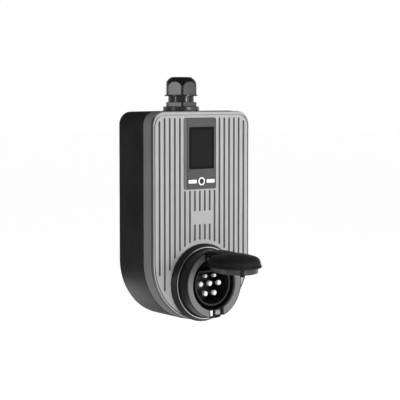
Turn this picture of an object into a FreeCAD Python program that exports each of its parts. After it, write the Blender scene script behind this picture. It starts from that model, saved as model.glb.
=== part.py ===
"""Portable electric vehicle charger: a wall-hung box with a lidded charging socket.

X is to the right, the front faces -Y and Z is up. The origin is the centre of the four threaded
inserts in the flat back face, so the wall is the plane y = 0. Depths are written as distances
forward of that wall, and the helpers turn them into negative y. All sizes are millimetres.
"""

import FreeCAD, Part

import math
import os

from FreeCAD import Vector

# Body: a shield outline with rounded top corners and a half-round foot
body_width = 170.0
body_height = 295.0
corner_radius = 19.0
wall = 3.0
casing_depth = 62.0
band_depth = 18.0
plate_depth = 5.0
casing_flare = 1.0
casing_draft = 1.3
band_flare = 0.5
rear_edge_radius = 3.0
plate_edge_radius = 1.5
frame_wall = 5.0
ledge_width = 7.0
ledge_depth = 3.0
ledge_end = 48.5

# Clearances between fitted pieces
slip_gap = 0.3
thread_gap = 0.05
running_gap = 0.06

# Gasket between the two halves of the box
gasket_width = 2.4
gasket_depth = 1.6
gasket_inset = 0.9

# Rear tub: screw columns, insert bosses, ribs and the pad under the gland
column_inset = 12.0
column_radius = 4.5
side_column_z = 20.0
foot_column_angle = 35.0
boss_radius = 7.5
boss_length = 12.0
rib_thickness = 2.0
rib_height = 8.0
rib_drop = 25.0
pad_radius = 27.0
pad_rise = 0.9

# Wall fixing: four brass inserts in the flat back
insert_span_x = 100.0
insert_span_z = 150.0
wall_thread_radius = 2.5
brass_radius = 4.0
brass_length = 9.0

# Screws that close the box from behind
screw_radius = 2.0
screw_head_radius = 3.6
screw_head_height = 4.0
screw_head_depth = 6.0
screw_tip_gap = 2.0
screw_key_flats = 3.0
screw_key_depth = 2.2
frame_boss_radius = 5.1

# Fluted front plate
flute_pitch = 8.77
flute_radius = 1.7
flute_depth = 1.3
field_inset = 8.4
border_inset = 1.8
border_width = 1.4
border_top_drop = 2.0
border_depth = 1.2
annulus_width = 5.2
bare_half_width = 18.0
bare_bottom = -11.0
bare_height = 18.0

# Screws from the band's ledge into the back of the plate
panel_screw_radius = 1.5
panel_screw_head_radius = 2.7
panel_screw_head_height = 2.0
panel_screw_depth = 3.4
panel_screw_tip_gap = 0.4
panel_screw_inset = 8.6
panel_screw_corner_inset = 25.8
panel_screw_high_z = 73.75
panel_screw_low_z = -31.25

# Display panel on the front plate
panel_left = -32.7
panel_right = 24.2
panel_top_drop = 8.5
panel_height = 100.6
panel_proud = 1.0
panel_corner = 3.0
panel_edge_radius = 0.5
strip_width = 4.6
strip_groove = 0.8
display_hole_inset = 3.0
display_x = -2.0
screen_width = 44.2
screen_height = 59.2
screen_drop = 13.0
screen_thickness = 1.4
module_margin = 3.0
controls_rise = 11.0
light_bar_length = 14.2
light_bar_height = 5.0
light_bar_corner = 1.2
light_bar_reach = 8.9
guide_proud = 0.2

# Push button, its ring and its switch
button_ring_radius = 5.8
button_ring_bore = 3.95
button_ring_proud = 0.4
button_ring_edge = 0.3
button_radius = 3.7
button_proud = 0.2
button_edge_radius = 1.0
button_travel = 0.8
button_setback = 2.0
button_shoulder = 1.2
button_shoulder_radius = 5.2
button_stem_radius = 2.0
button_stem_gap = 0.15
switch_half = 3.0
switch_height = 1.5

# Circuit board behind the display
display_board_setback = 9.0
display_board_thickness = 1.6
display_board_half = 24.0
display_board_above = 3.0
display_board_below = 9.0
display_boss_radius = 1.8
display_boss_reach = 21.3
display_boss_rise = 10.0
display_screw_radius = 0.9
display_screw_head = 1.2
display_screw_tip_gap = 1.0

# Charging socket, measured from its own axis
collar_overhang = 1.8
collar_width = 7.3
collar_lip_width = 3.8
collar_depth = 9.8
collar_skirt = 3.2
collar_step = 0.8
trim_width = 1.5
trim_inset = 0.6
trim_depth = 1.8
trim_chamfer = 0.4
nose_width = 11.2
nose_depth = 28.3
nose_rim = 1.3
nose_rim_rounding = 0.4
plug_room = 5.8
ring_thickness = 4.0
ring_step = 0.7
ring_chamfer = 0.8
flange_width = 8.0
flange_inset = 5.7
flange_thickness = 3.5
flange_setback = 1.0
socket_floor_depth = 9.0
socket_floor_thickness = 4.0
socket_screw_radius = 1.5
socket_screw_reach = 3.8
socket_screw_angles = (20, 60, 120, 160)

# Recess at the foot of the face ring, with the lid's keeper, its spring clip and a drain
notch_left = -9.0
notch_right = 16.8
keeper_left = 1.8
keeper_right = 10.0
keeper_top_drop = 0.2
keeper_length = 6.4
clip_left = -7.0
clip_right = -3.3
clip_top_drop = 0.2
clip_length = 7.6
clip_thickness = 0.8
clip_setback = 0.4

# Contact carrier and contacts
insert_radius = 31.0
insert_wall = 2.4
insert_flat = 19.5
insert_setback = 4.3
insert_floor = 2.0
insert_tail = 6.0
contact_setback = 9.3
contact_pitch = 16.0
power_pin_radius = 3.0
power_cap_radius = 3.7
signal_pin_radius = 1.5
signal_cap_radius = 2.6
signal_row_x = 8.0
signal_row_z = 11.0
cap_length = 5.0
cap_skin = 1.0
cap_rounding = 0.55
neck_ratio = 0.6
terminal_length = 12.0
terminal_radius = 5.0
wire_hole_depth = 8.0

# Plug lock above the socket
lock_pin_radius = 2.0
lock_setback = 2.2
lock_stand = 1.2
lock_length = 21.0
lock_head_room = 1.0
actuator_stand = 4.2
actuator_height = 28.0
actuator_half_width = 14.0
actuator_length = 20.0
actuator_corner = 2.0

# Lid on the socket, drawn shut and then swung to its resting, open pose
lid_cover = 1.1
lid_rim = 2.4
lid_height = 18.0
lid_side = 5.0
lid_side_step = 1.5
lid_shoulder = 9.0
lid_groove = 1.2
lid_groove_depth = 0.8
lid_wall = 2.2
lid_open_angle = 87.5
hinge_stand = 0.6
hinge_forward = 6.8
hinge_pin_radius = 1.5
knuckle_radius = 3.8
knuckle_half = 11.0

# Spine that carries the lid's top back over the hinge
spine_half = 16.0
spine_drop = 0.4
spine_crown = 1.2
spine_edge_radius = 2.0
spine_end = 3.0
lug_width = 5.8
lug_radius = 4.2
lug_notch = 4.7
lug_cover_gap = 1.0

# Catch leg under the lid's free edge
leg_x = -11.0
leg_half = 2.4
leg_thickness = 1.8
leg_inset = 7.3
leg_reach = 10.4
leg_root = 0.6
leg_chamfer = 0.7

# Rubber seal in the lid, with a skirt that is cut on a slant
seal_room = 2.2
seal_depth = 8.3
seal_hinge_depth = 3.8
seal_flange_width = 1.2
seal_flange_depth = 1.6
seal_lip = 3.0
seal_chamfer = 0.8
seal_clearance = 0.5

# Hinge bracket and its screws
bracket_thickness = 1.6
bracket_stand = 3.6
bracket_height = 4.2
bracket_screw_radius = 1.0
bracket_screw_x = 6.0
bracket_screw_head = 0.6
bracket_screw_head_radius = 1.7

# Cable gland on the top face
gland_setback = 27.0
gland_flats = 42.4
gland_corner_radius = 23.5
gland_turn = -2.0
gland_base_radius = 25.8
gland_base_height = 6.0
gland_base_rounding = 0.8
gland_thread_radius = 16.0
gland_stub = 9.0
gland_hex_height = 6.2
neck_radius = 18.4
neck_height = 8.5
sleeve_wall = 2.2
sleeve_height = 8.0
nut_thread_radius = 16.5
nut_lip_radius = 23.9
nut_lip = 1.8
nut_seat = 2.0
nut_height = 27.2
nut_shoulder = 14.2
nut_bulge_radius = 21.4
nut_bulge_height = 20.2
nut_crown_radius = 13.8
nut_mouth_depth = 3.0
nut_mouth_gap = 1.4
locknut_height = 6.0
locknut_less = 1.0
cable_radius = 8.0
cable_clearance = 3.0

# Main board and what holds it
board_gap = 2.0
board_thickness = 1.6
board_side_room = 19.0
board_height = 150.0
board_top_room = 19.5
board_hole_inset = 6.0
standoff_radius = 3.5
standoff_thread_radius = 1.5
standoff_floor = 2.0
board_screw_reach = 7.0

# Relays, leakage sensor, supply and capacitors
relay_count = 4
relay_width = 15.5
relay_height = 30.0
relay_depth = 22.0
relay_pitch = 17.5
relay_corner = 1.0
relay_drop = 114.0
relay_x = -56.0
sensor_radius = 17.0
sensor_bore = 9.0
sensor_depth = 14.0
sensor_edge_radius = 1.5
sensor_x = -36.0
sensor_drop = 54.0
supply_left = 14.0
supply_right = 60.0
supply_drop = 32.0
supply_height = 30.0
supply_depth = 24.0
supply_corner = 1.5
capacitor_count = 3
capacitor_radius = 6.0
capacitor_height = 21.0
capacitor_pitch = 14.0
capacitor_edge_radius = 0.8
capacitor_x = 24.0
capacitor_drop = 76.0

# Terminals and leads
input_poles = 5
input_pitch = 10.0
input_drop = 26.0
input_height = 16.0
input_depth = 22.0
input_screw_radius = 3.0
input_screw_depth = 9.0
input_wire_radius = 2.8
input_wire_depth = 10.0
input_wire_rise = 6.0
output_half = 21.0
output_rise = 3.0
output_height = 14.0
output_depth = 20.0
lead_radius = 2.4
lead_bend = 10.0
lead_rise = 10.4
lead_tail = 7.0

# Fuse and radio module
fuse_radius = 2.6
fuse_length = 20.0
fuse_cap_length = 5.0
fuse_cap_skin = 0.4
fuse_rise = 5.0
fuse_clip_half = 3.6
fuse_clip_inset = 1.0
fuse_x = 32.0
fuse_drop = 98.0
radio_left = 36.0
radio_drop = 134.0
radio_width = 18.0
radio_height = 25.5
radio_base = 1.0
radio_can_height = 2.2
radio_can_inset = 1.0
radio_aerial = 7.0

# Levels that follow from the sizes above
half_width = body_width / 2
top_z = body_height / 2
arch_z = half_width - top_z
frame_back = casing_depth
plate_back = frame_back + band_depth
plate_front = plate_back + plate_depth
screw_tip = plate_back - ledge_depth - screw_tip_gap
flutes_each_side = math.floor((half_width - field_inset) / flute_pitch + 1 / 2)
pad_top = top_z + pad_rise
gland_depth = casing_depth - gland_setback
panel_top = top_z - panel_top_drop
panel_bottom = panel_top - panel_height
bezel_front = plate_front + panel_proud
bezel_fit = display_hole_inset + slip_gap
screen_top = panel_top - screen_drop
screen_bottom = screen_top - screen_height
controls_z = panel_bottom + controls_rise
button_seat = plate_back - button_setback
display_board_back = plate_back - display_board_setback
display_board_front = display_board_back + display_board_thickness
stem_back = display_board_front + switch_height + button_travel + button_stem_gap
bore_radius = insert_radius + plug_room
ring_inner_radius = bore_radius + ring_step
nose_radius = bore_radius + nose_width
collar_radius = nose_radius + collar_width
socket_z = collar_radius - collar_overhang - top_z
collar_lip_radius = nose_radius + collar_lip_width
annulus_radius = collar_radius + annulus_width
flange_radius = nose_radius + flange_width
socket_screw_circle = nose_radius + socket_screw_reach
keeper_drop = bore_radius + keeper_top_drop
keeper_bottom = keeper_drop + keeper_length
clip_drop = bore_radius + clip_top_drop
clip_bottom = clip_drop + clip_length
nose_front = plate_front + nose_depth
ring_back = nose_front - ring_thickness
ring_radius = nose_radius - nose_rim
insert_front = nose_front - insert_setback
contact_front = nose_front - contact_setback
socket_floor = plate_back - socket_floor_depth
shell_back = socket_floor - socket_floor_thickness
carrier_back = shell_back - insert_tail
terminal_back = carrier_back - terminal_length
flange_front = plate_back - flange_setback
flange_back = flange_front - flange_thickness
lock_forward = flange_back - lock_setback
lock_rise = bore_radius + lock_stand
lock_top = socket_z + lock_rise + lock_length
actuator_rise = bore_radius + actuator_stand
hinge_y = -(nose_front + hinge_forward)
hinge_rise = bore_radius + hinge_stand
hinge_z = socket_z + hinge_rise
bracket_bottom_rise = bore_radius + bracket_stand
bracket_top_rise = bracket_bottom_rise + bracket_height
lid_seat = nose_front + slip_gap
lid_radius = bore_radius + lid_cover
lid_side_radius = lid_radius - lid_side_step
leg_drop = lid_radius - leg_inset
seal_radius = insert_radius + seal_room
seal_flange_radius = seal_radius + seal_flange_width
lug_middle = knuckle_half + slip_gap + lug_width / 2
nut_bottom = pad_top + gland_base_height + gland_hex_height + neck_height
nut_top = nut_bottom + nut_height
sleeve_seat = nut_bottom + nut_lip + nut_seat
stub_bottom = top_z - wall - gland_stub
board_back = boss_length + board_gap
board_front = board_back + board_thickness
lead_forward = board_front + lead_rise
board_half_width = half_width - board_side_room
board_top = top_z - board_top_room
board_bottom = board_top - board_height
input_bottom = board_top - input_drop
supply_top = board_top - supply_drop
supply_bottom = supply_top - supply_height
sensor_z = board_top - sensor_drop
capacitor_z = board_top - capacitor_drop
fuse_z = board_top - fuse_drop
relay_z = board_top - relay_drop
radio_bottom = board_top - radio_drop
output_bottom = board_bottom + output_rise


# Shapes that several pieces share


def outline(grow, forward, top_drop=0.0):
    """Shield-shaped wire in a plane parallel to the wall, grown outwards by a margin."""
    side = half_width + grow
    top = top_z + grow - top_drop
    radius = corner_radius + grow
    slant = radius * math.sqrt(0.5)

    def at(x, z):
        return Vector(x, -forward, z)

    right_middle = at(side - radius + slant, top - radius + slant)
    left_middle = at(radius - side - slant, top - radius + slant)
    edges = [
        Part.LineSegment(at(radius - side, top), at(side - radius, top)),
        Part.Arc(at(side - radius, top), right_middle, at(side, top - radius)),
        Part.LineSegment(at(side, top - radius), at(side, arch_z)),
        Part.Arc(at(side, arch_z), at(0, arch_z - side), at(-side, arch_z)),
        Part.LineSegment(at(-side, arch_z), at(-side, top - radius)),
        Part.Arc(at(-side, top - radius), left_middle, at(radius - side, top)),
    ]
    return Part.Wire([edge.toShape() for edge in edges])


def slab(grow, back, front, top_drop=0.0):
    """Solid of the shield outline between two depths."""
    return Part.Face(outline(grow, back, top_drop)).extrude(Vector(0, back - front, 0))


def box(left, right, back, front, bottom, top):
    """Rectangular block between two sides, two depths and two heights."""
    corner = Vector(left, -front, bottom)
    return Part.makeBox(right - left, front - back, top - bottom, corner)


def rod(radius, x, z, back, front):
    """Round bar that points forward."""
    return Part.makeCylinder(radius, front - back, Vector(x, -back, z), Vector(0, -1, 0))


def post(radius, x, forward, bottom, top):
    """Round bar that stands upright."""
    return Part.makeCylinder(radius, top - bottom, Vector(x, -forward, bottom))


def turned(points, z=socket_z):
    """Solid of revolution about a forward axis from (radius, forward) points."""
    corners = [Vector(radius, -forward, z) for radius, forward in points]
    face = Part.Face(Part.makePolygon(corners + corners[:1]))
    return face.revolve(Vector(0, 0, z), Vector(0, 1, 0), 360)


def spun_up(points, forward):
    """Solid of revolution about an upright axis from (radius, height) points."""
    corners = [Vector(radius, -forward, height) for radius, height in points]
    face = Part.Face(Part.makePolygon(corners + corners[:1]))
    return face.revolve(Vector(0, -forward, 0), Vector(0, 0, 1), 360)


def rounded_block(left, right, back, front, bottom, top, radius):
    """Block whose four forward-pointing edges are rounded."""
    block = box(left, right, back, front, bottom, top)
    forward_edges = [edge for edge in block.Edges if abs(edge.tangentAt(edge.FirstParameter).y) > 0.9]
    return block.makeFillet(radius, forward_edges)


def edges_at(shape, forward):
    """Edges of a shape that lie wholly at one depth."""
    boxes = [(edge, edge.BoundBox) for edge in shape.Edges]
    return [edge for edge, bound in boxes if abs(bound.YMin + forward) < 0.01 and bound.YLength < 0.01]


def joined(shapes):
    """Fuse a list of shapes and merge the faces that run on."""
    return shapes[0].multiFuse(shapes[1:]).removeSplitter()


def group(shapes):
    """Keep like pieces apart in one node."""
    return Part.makeCompound(shapes)


def arch_point(radius, degrees):
    """Point on a circle about the foot's centre, measured below the horizontal."""
    angle = math.radians(degrees)
    return radius * math.cos(angle), arch_z - radius * math.sin(angle)


def circle_point(radius, degrees):
    """Point on a circle about the socket's axis."""
    angle = math.radians(degrees)
    return radius * math.cos(angle), socket_z + radius * math.sin(angle)


def both_sides(points):
    """Each point and its mirror image."""
    return [(side * x, z) for x, z in points for side in (-1, 1)]


def x_rod(radius, reach):
    """Round bar on the hinge's axis."""
    return Part.makeCylinder(radius, 2 * reach, Vector(-reach, hinge_y, hinge_z), Vector(1, 0, 0))


def hexagon(flats, forward, bottom, top, turn):
    """Upright hexagonal bar, turned about its own axis."""
    radius = flats / math.sqrt(3)
    corners = []
    for number in range(7):
        angle = math.radians(turn + 60 * number)
        corners.append(Vector(radius * math.cos(angle), radius * math.sin(angle) - forward, bottom))
    return Part.Face(Part.makePolygon(corners)).extrude(Vector(0, 0, top - bottom))


def save(name, shape):
    """Write one node."""
    shape.exportStep("parts/%s.step" % name)


# Places that several pieces share, as x and z
closing_points = both_sides([
    (half_width - column_inset, top_z - column_inset),
    (half_width - column_inset + wall, side_column_z),
    arch_point(half_width - column_inset + wall, foot_column_angle),
])
wall_points = both_sides([(insert_span_x / 2, insert_span_z / 2), (insert_span_x / 2, -insert_span_z / 2)])
panel_points = both_sides([
    (half_width - panel_screw_corner_inset, top_z - panel_screw_inset),
    (half_width - panel_screw_inset, panel_screw_high_z),
    (half_width - panel_screw_inset, panel_screw_low_z),
])
display_boss_points = [(display_x + side * display_boss_reach, z)
                       for side in (-1, 1) for z in (controls_z + display_boss_rise, screen_top)]
socket_screw_points = [circle_point(socket_screw_circle, angle) for angle in socket_screw_angles]
power_points = [(-contact_pitch, socket_z), (0, socket_z), (contact_pitch, socket_z)]
power_points += [circle_point(contact_pitch, angle) for angle in (240, 300)]
signal_points = both_sides([(signal_row_x, socket_z + signal_row_z)])
bracket_screw_z = socket_z + (bracket_bottom_rise + bracket_top_rise) / 2
board_points = both_sides([
    (board_half_width - board_hole_inset, board_bottom + board_hole_inset),
    (board_half_width - board_hole_inset, board_top - board_hole_inset),
])


# Casing


def housing_grow(forward):
    """How far the drafted casing stands outside the plate's outline at one depth."""
    return casing_flare - casing_draft * (1 - forward / casing_depth)


def drafted(inset, back, front):
    """Tapered solid that follows the casing at a constant inset."""
    wires = [outline(housing_grow(depth) - inset, depth) for depth in (back, front)]
    return Part.makeLoft(wires, True, True)


def rear_housing():
    """Black moulded tub with screw columns, insert bosses, ribs and the pad under the gland."""
    shell = drafted(0, 0, casing_depth)
    shell = shell.makeFillet(rear_edge_radius, edges_at(shell, 0))
    shell = shell.cut(drafted(wall, wall, casing_depth))
    interior = drafted(wall / 2, wall, casing_depth)
    columns = [rod(column_radius, x, z, wall / 2, casing_depth) for x, z in closing_points]
    bosses = [rod(boss_radius, x, z, wall / 2, boss_length) for x, z in wall_points]
    ribs = [box(-half_width, half_width, wall / 2, rib_height, z - rib_thickness, z)
            for z in (-insert_span_z / 2, socket_z - rib_drop)]
    fittings = joined(columns + bosses + ribs).common(interior)
    pad = post(pad_radius, 0, gland_depth, top_z - wall, pad_top)
    shell = joined([shell, fittings, pad])
    cutters = [rod(screw_radius + slip_gap, x, z, 0, casing_depth) for x, z in closing_points]
    cutters += [rod(screw_head_radius + slip_gap, x, z, 0, screw_head_depth) for x, z in closing_points]
    cutters += [rod(brass_radius, x, z, 0, brass_length) for x, z in wall_points]
    cutters += [rod(wall_thread_radius, x, z, 0, boss_length - wall / 2) for x, z in wall_points]
    cutters.append(post(gland_thread_radius + slip_gap, 0, gland_depth, top_z - 2 * wall, pad_top))
    return shell.cut(cutters)


def gasket_track(back, front, inset):
    """Endless strip that follows the casing's front edge."""
    outer = slab(band_flare - inset, back, front)
    return outer.cut(slab(band_flare - inset - gasket_width, back, front))


def housing_gasket():
    """Rubber cord between the two halves of the box, squeezed flush in its groove."""
    return gasket_track(frame_back, frame_back + gasket_depth, gasket_inset)


def flange_plate(grow, back, front):
    """Round plate that fits inside the box's foot and is notched round the bosses that it meets."""
    plate = rod(flange_radius + grow, 0, socket_z, back, front)
    plate = plate.common(slab(grow - flange_inset, back, front))
    return plate.cut([rod(frame_boss_radius + slip_gap, x, z, back, front) for x, z in closing_points])


def front_frame():
    """Dark grey band that carries the front plate on an inner ledge."""
    band = slab(band_flare, frame_back, plate_back)
    band = band.cut(slab(band_flare - frame_wall, frame_back, plate_back - ledge_depth))
    band = band.cut(slab(-frame_wall - ledge_width, plate_back - ledge_depth, plate_back))
    ledge_back = plate_back - ledge_depth
    foot = box(-half_width, half_width, ledge_back, plate_back, -body_height, arch_z - ledge_end)
    band = band.cut(slab(band_flare - frame_wall, ledge_back, plate_back).common(foot))
    band = band.cut(flange_plate(slip_gap, ledge_back, plate_back))
    bosses = [rod(frame_boss_radius, x, z, frame_back, plate_back - ledge_depth / 2)
              for x, z in closing_points]
    band = joined([band] + bosses)
    cutters = [rod(screw_radius + thread_gap, x, z, frame_back, ledge_back) for x, z in closing_points]
    cutters += [rod(panel_screw_radius + slip_gap, x, z, frame_back, plate_back) for x, z in panel_points]
    cutters.append(gasket_track(frame_back, frame_back + gasket_depth, gasket_inset))
    return band.cut(cutters)


# Front plate


def capsule(radius, x, forward, bottom, top):
    """Upright bar with ball ends, the shape that a flute is cut with."""
    bar = post(radius, x, forward, bottom + radius, top - radius)
    balls = [Part.makeSphere(radius, Vector(x, -forward, z)) for z in (bottom + radius, top - radius)]
    return bar.multiFuse(balls)


def flute_spans(x):
    """Heights between which one flute runs, broken by the panel, the bare field and the socket."""
    reach = half_width - field_inset
    low = arch_z - math.sqrt(reach ** 2 - x ** 2)
    high = top_z - field_inset
    corner = corner_radius - field_inset
    past = abs(x) - (reach - corner)
    if past > 0:
        high -= corner - math.sqrt(corner ** 2 - past ** 2)
    if abs(x) < annulus_radius:
        low = max(low, socket_z + math.sqrt(annulus_radius ** 2 - x ** 2))
    gap = flute_radius
    if panel_left - gap < x < panel_right + gap:
        high = panel_bottom - gap
    spans = [(low, high)]
    if abs(x) < bare_half_width:
        spans = [(low, bare_bottom), (bare_bottom + bare_height, high)]
    return spans


def front_panel():
    """Light grey plate with upright flutes, a border groove and openings for socket and display."""
    plate = slab(0, plate_back, plate_front)
    plate = plate.makeFillet(plate_edge_radius, edges_at(plate, plate_front))
    border = slab(-border_inset, plate_front - border_depth, plate_front, border_top_drop)
    inner = slab(-border_inset - border_width, plate_front - border_depth, plate_front, border_top_drop)
    cutters = [border.cut(inner)]
    level = plate_front - flute_depth + flute_radius
    for number in range(-flutes_each_side, flutes_each_side):
        x = (number + 1 / 2) * flute_pitch
        for bottom, top in flute_spans(x):
            cutters.append(capsule(flute_radius, x, level, bottom, top))
    cutters.append(rod(nose_radius + slip_gap, 0, socket_z, plate_back, plate_front))
    cutters.append(box(panel_left + display_hole_inset, panel_right - display_hole_inset, plate_back,
                       plate_front, panel_bottom + display_hole_inset, panel_top - display_hole_inset))
    cutters += [rod(panel_screw_radius + thread_gap, x, z, plate_back, plate_back + panel_screw_depth)
                for x, z in panel_points]
    cutters += [rod(socket_screw_radius + thread_gap, x, z, plate_back, plate_back + panel_screw_depth)
                for x, z in socket_screw_points]
    return plate.cut(cutters)


# Display panel


def light_bar(side, back, front, margin=0.0):
    """One rounded light-guide bar, left or right of the button."""
    inner = display_x + side * (light_bar_reach - margin)
    outer = display_x + side * (light_bar_reach + light_bar_length + margin)
    half = light_bar_height / 2 + margin
    return rounded_block(min(inner, outer), max(inner, outer), back, front, controls_z - half,
                         controls_z + half, light_bar_corner)


def display_bezel():
    """Dark panel with a side strip, a window and openings for the controls."""
    front = bezel_front
    flange = rounded_block(panel_left, panel_right, plate_front, front, panel_bottom, panel_top, panel_corner)
    flange = flange.makeFillet(panel_edge_radius, edges_at(flange, front))
    body = box(panel_left + bezel_fit, panel_right - bezel_fit, plate_back, plate_front,
               panel_bottom + bezel_fit, panel_top - bezel_fit)
    bosses = [rod(display_boss_radius, x, z, display_board_front, plate_front)
              for x, z in display_boss_points]
    bezel = joined([flange, body] + bosses)
    strip_edge = panel_left + strip_width
    half = screen_width / 2
    cutters = [
        box(strip_edge, strip_edge + strip_groove, plate_front, front, panel_bottom, panel_top),
        box(display_x - half, display_x + half, front - screen_thickness, front, screen_bottom, screen_top),
        box(display_x - half + module_margin, display_x + half - module_margin, plate_back, front,
            screen_bottom + module_margin, screen_top - module_margin),
        rod(button_ring_radius, display_x, controls_z, plate_back, front),
    ]
    cutters += [light_bar(side, plate_back, front) for side in (-1, 1)]
    cutters += [rod(display_screw_radius, x, z, display_board_front, plate_back)
                for x, z in display_boss_points]
    return bezel.cut(cutters)


def screen_lens():
    """Black window over the display, flush with the panel."""
    half = screen_width / 2 - thread_gap
    return box(display_x - half, display_x + half, bezel_front - screen_thickness, bezel_front,
               screen_bottom + thread_gap, screen_top - thread_gap)


def lcd_module():
    """Display module behind the window, standing on the display board."""
    half = screen_width / 2 - module_margin - thread_gap
    return box(display_x - half, display_x + half, display_board_front, bezel_front - screen_thickness,
               screen_bottom + module_margin + thread_gap, screen_top - module_margin - thread_gap)


def status_bars():
    """Two white light guides that reach from the board to the panel's face."""
    front = bezel_front + guide_proud
    return group([light_bar(side, display_board_front, front, -thread_gap) for side in (-1, 1)])


def button_ring():
    """White ring round the button, let in from the panel's face."""
    front = bezel_front + button_ring_proud
    ring = rod(button_ring_radius - thread_gap, display_x, controls_z, button_seat, front)
    ring = ring.makeFillet(button_ring_edge, edges_at(ring, front))
    return ring.cut(rod(button_ring_bore, display_x, controls_z, button_seat, front))


def button_cap():
    """Domed push button with a shoulder that stops it behind its ring and a stem on the switch."""
    top = bezel_front + button_proud
    shoulder_front = button_seat - slip_gap
    shoulder_back = shoulder_front - button_shoulder
    cap = rod(button_radius, display_x, controls_z, shoulder_back, top)
    cap = cap.makeFillet(button_edge_radius, edges_at(cap, top))
    shoulder = rod(button_shoulder_radius, display_x, controls_z, shoulder_back, shoulder_front)
    stem = rod(button_stem_radius, display_x, controls_z, stem_back, shoulder_front)
    return joined([cap, shoulder, stem])


def button_switch():
    """Tactile switch on the display board under the button."""
    return box(display_x - switch_half, display_x + switch_half, display_board_front,
               display_board_front + switch_height, controls_z - switch_half, controls_z + switch_half)


def display_board():
    """Circuit board behind the display panel, screwed to the panel's back."""
    board = box(display_x - display_board_half, display_x + display_board_half, display_board_back,
                display_board_front, controls_z - display_board_below, screen_top + display_board_above)
    holes = [rod(display_screw_radius, x, z, display_board_back, display_board_front)
             for x, z in display_boss_points]
    return board.cut(holes)


def display_screws():
    """Four small screws that hold the display board to the panel's posts."""
    head_back = display_board_back - display_screw_head
    screws = []
    for x, z in display_boss_points:
        head = rod(2 * display_screw_radius, x, z, head_back, display_board_back)
        shank = rod(display_screw_radius, x, z, display_board_back, plate_back - display_screw_tip_gap)
        screws.append(joined([head, shank]))
    return group(screws)


# Charging socket


def socket_collar():
    """Black collar that flares down onto the front plate round the socket."""
    front = plate_front + collar_depth
    groove_outer = collar_lip_radius - trim_inset
    groove_inner = groove_outer - trim_width
    return turned([
        (nose_radius + slip_gap, plate_front), (collar_radius, plate_front),
        (collar_radius, plate_front + collar_skirt), (collar_lip_radius, front - collar_step),
        (groove_outer, front - collar_step), (groove_outer, front - trim_depth),
        (groove_inner, front - trim_depth), (groove_inner, front - collar_step),
        (nose_radius + slip_gap, front - collar_step),
    ])


def collar_trim():
    """Bright trim ring let into the collar's front edge."""
    front = plate_front + collar_depth
    outer = collar_lip_radius - trim_inset
    inner = outer - trim_width
    return turned([
        (inner, front - trim_depth), (outer, front - trim_depth), (outer, front - trim_chamfer),
        (outer - trim_chamfer, front), (inner + trim_chamfer, front), (inner, front - trim_chamfer),
    ])


def d_shape(radius, flat, back, front):
    """Round bar on the socket's axis with a flat cut across its top."""
    bar = rod(radius, 0, socket_z, back, front)
    return bar.cut(box(-radius, radius, back, front, socket_z + flat, socket_z + radius))


def notch_bridge():
    """Solid stretch of the nose under the face ring's recess, which carries the keeper and its clip."""
    return box(notch_left - wall, notch_right + wall, plate_back, ring_back, socket_z - nose_radius,
               socket_z - insert_radius)


def socket_shell():
    """Black socket body: nose, bore, flange behind the plate and the floor that holds the carrier."""
    nose = turned([
        (0, shell_back), (bore_radius + wall, shell_back), (bore_radius + wall, flange_back),
        (nose_radius, flange_back), (nose_radius, nose_front - nose_rim_rounding),
        (nose_radius - nose_rim_rounding, nose_front), (ring_radius, nose_front), (ring_radius, ring_back),
        (bore_radius, ring_back), (bore_radius, socket_floor), (0, socket_floor),
    ])
    shell = joined([nose, flange_plate(0, flange_back, flange_front)])
    hollow = turned([(bore_radius + wall, plate_back), (bore_radius + wall, ring_back),
                     (nose_radius - wall, ring_back), (nose_radius - wall, plate_back)])
    drain = box(keeper_right + slip_gap, notch_right, ring_back, nose_front, socket_z - nose_radius,
                socket_z - bore_radius)
    cutters = [
        d_shape(insert_radius - insert_wall, insert_flat - insert_wall, shell_back, socket_floor),
        rod(bore_radius, 0, socket_z, socket_floor, ring_back),
        post(lock_pin_radius + running_gap, 0, lock_forward, socket_z + bore_radius - wall,
             socket_z + actuator_rise),
        hollow.cut(notch_bridge()),
        drain,
    ]
    cutters += [rod(socket_screw_radius + slip_gap, x, z, flange_back, flange_front)
                for x, z in socket_screw_points]
    return shell.cut(cutters)


def socket_gasket():
    """Flat seal between the socket's flange and the back of the front plate."""
    seal = flange_plate(-flange_setback, flange_front, plate_back)
    cutters = [rod(nose_radius, 0, socket_z, flange_front, plate_back)]
    cutters += [rod(socket_screw_radius + slip_gap, x, z, flange_front, plate_back)
                for x, z in socket_screw_points]
    return seal.cut(cutters)


def socket_screws():
    """Four screws that hold the socket's flange to the back of the plate."""
    tip = plate_back + panel_screw_depth - panel_screw_tip_gap
    screws = []
    for x, z in socket_screw_points:
        head = rod(panel_screw_head_radius, x, z, flange_back - panel_screw_head_height, flange_back)
        shank = rod(socket_screw_radius, x, z, flange_back, tip)
        screws.append(joined([head, shank]))
    return group(screws)


def socket_ring():
    """Grey face ring let into the nose, cut away at its foot for the lid's keeper."""
    outer = ring_radius - thread_gap
    ring = turned([
        (ring_inner_radius, ring_back), (outer, ring_back), (outer, nose_front),
        (ring_inner_radius + ring_chamfer, nose_front), (ring_inner_radius, nose_front - ring_chamfer),
    ])
    return ring.cut(box(notch_left, notch_right, ring_back, nose_front, socket_z - nose_radius,
                        socket_z - insert_radius))


def latch_leaf():
    """Bright steel spring clip in the recess, bent back to its seat at both ends."""
    bottom = socket_z - clip_bottom
    top = socket_z - clip_drop
    face = nose_front - clip_setback
    clip = box(clip_left, clip_right, ring_back, face, bottom, top)
    hollow = box(clip_left, clip_right, ring_back, face - clip_thickness, bottom + clip_thickness,
                 top - clip_thickness)
    return clip.cut(hollow)


def latch_keeper():
    """Grey block in the recess, flush with the face ring."""
    keeper = box(keeper_left, keeper_right, ring_back, nose_front, socket_z - keeper_bottom,
                 socket_z - keeper_drop)
    return keeper.makeChamfer(trim_chamfer, edges_at(keeper, nose_front))


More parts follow.
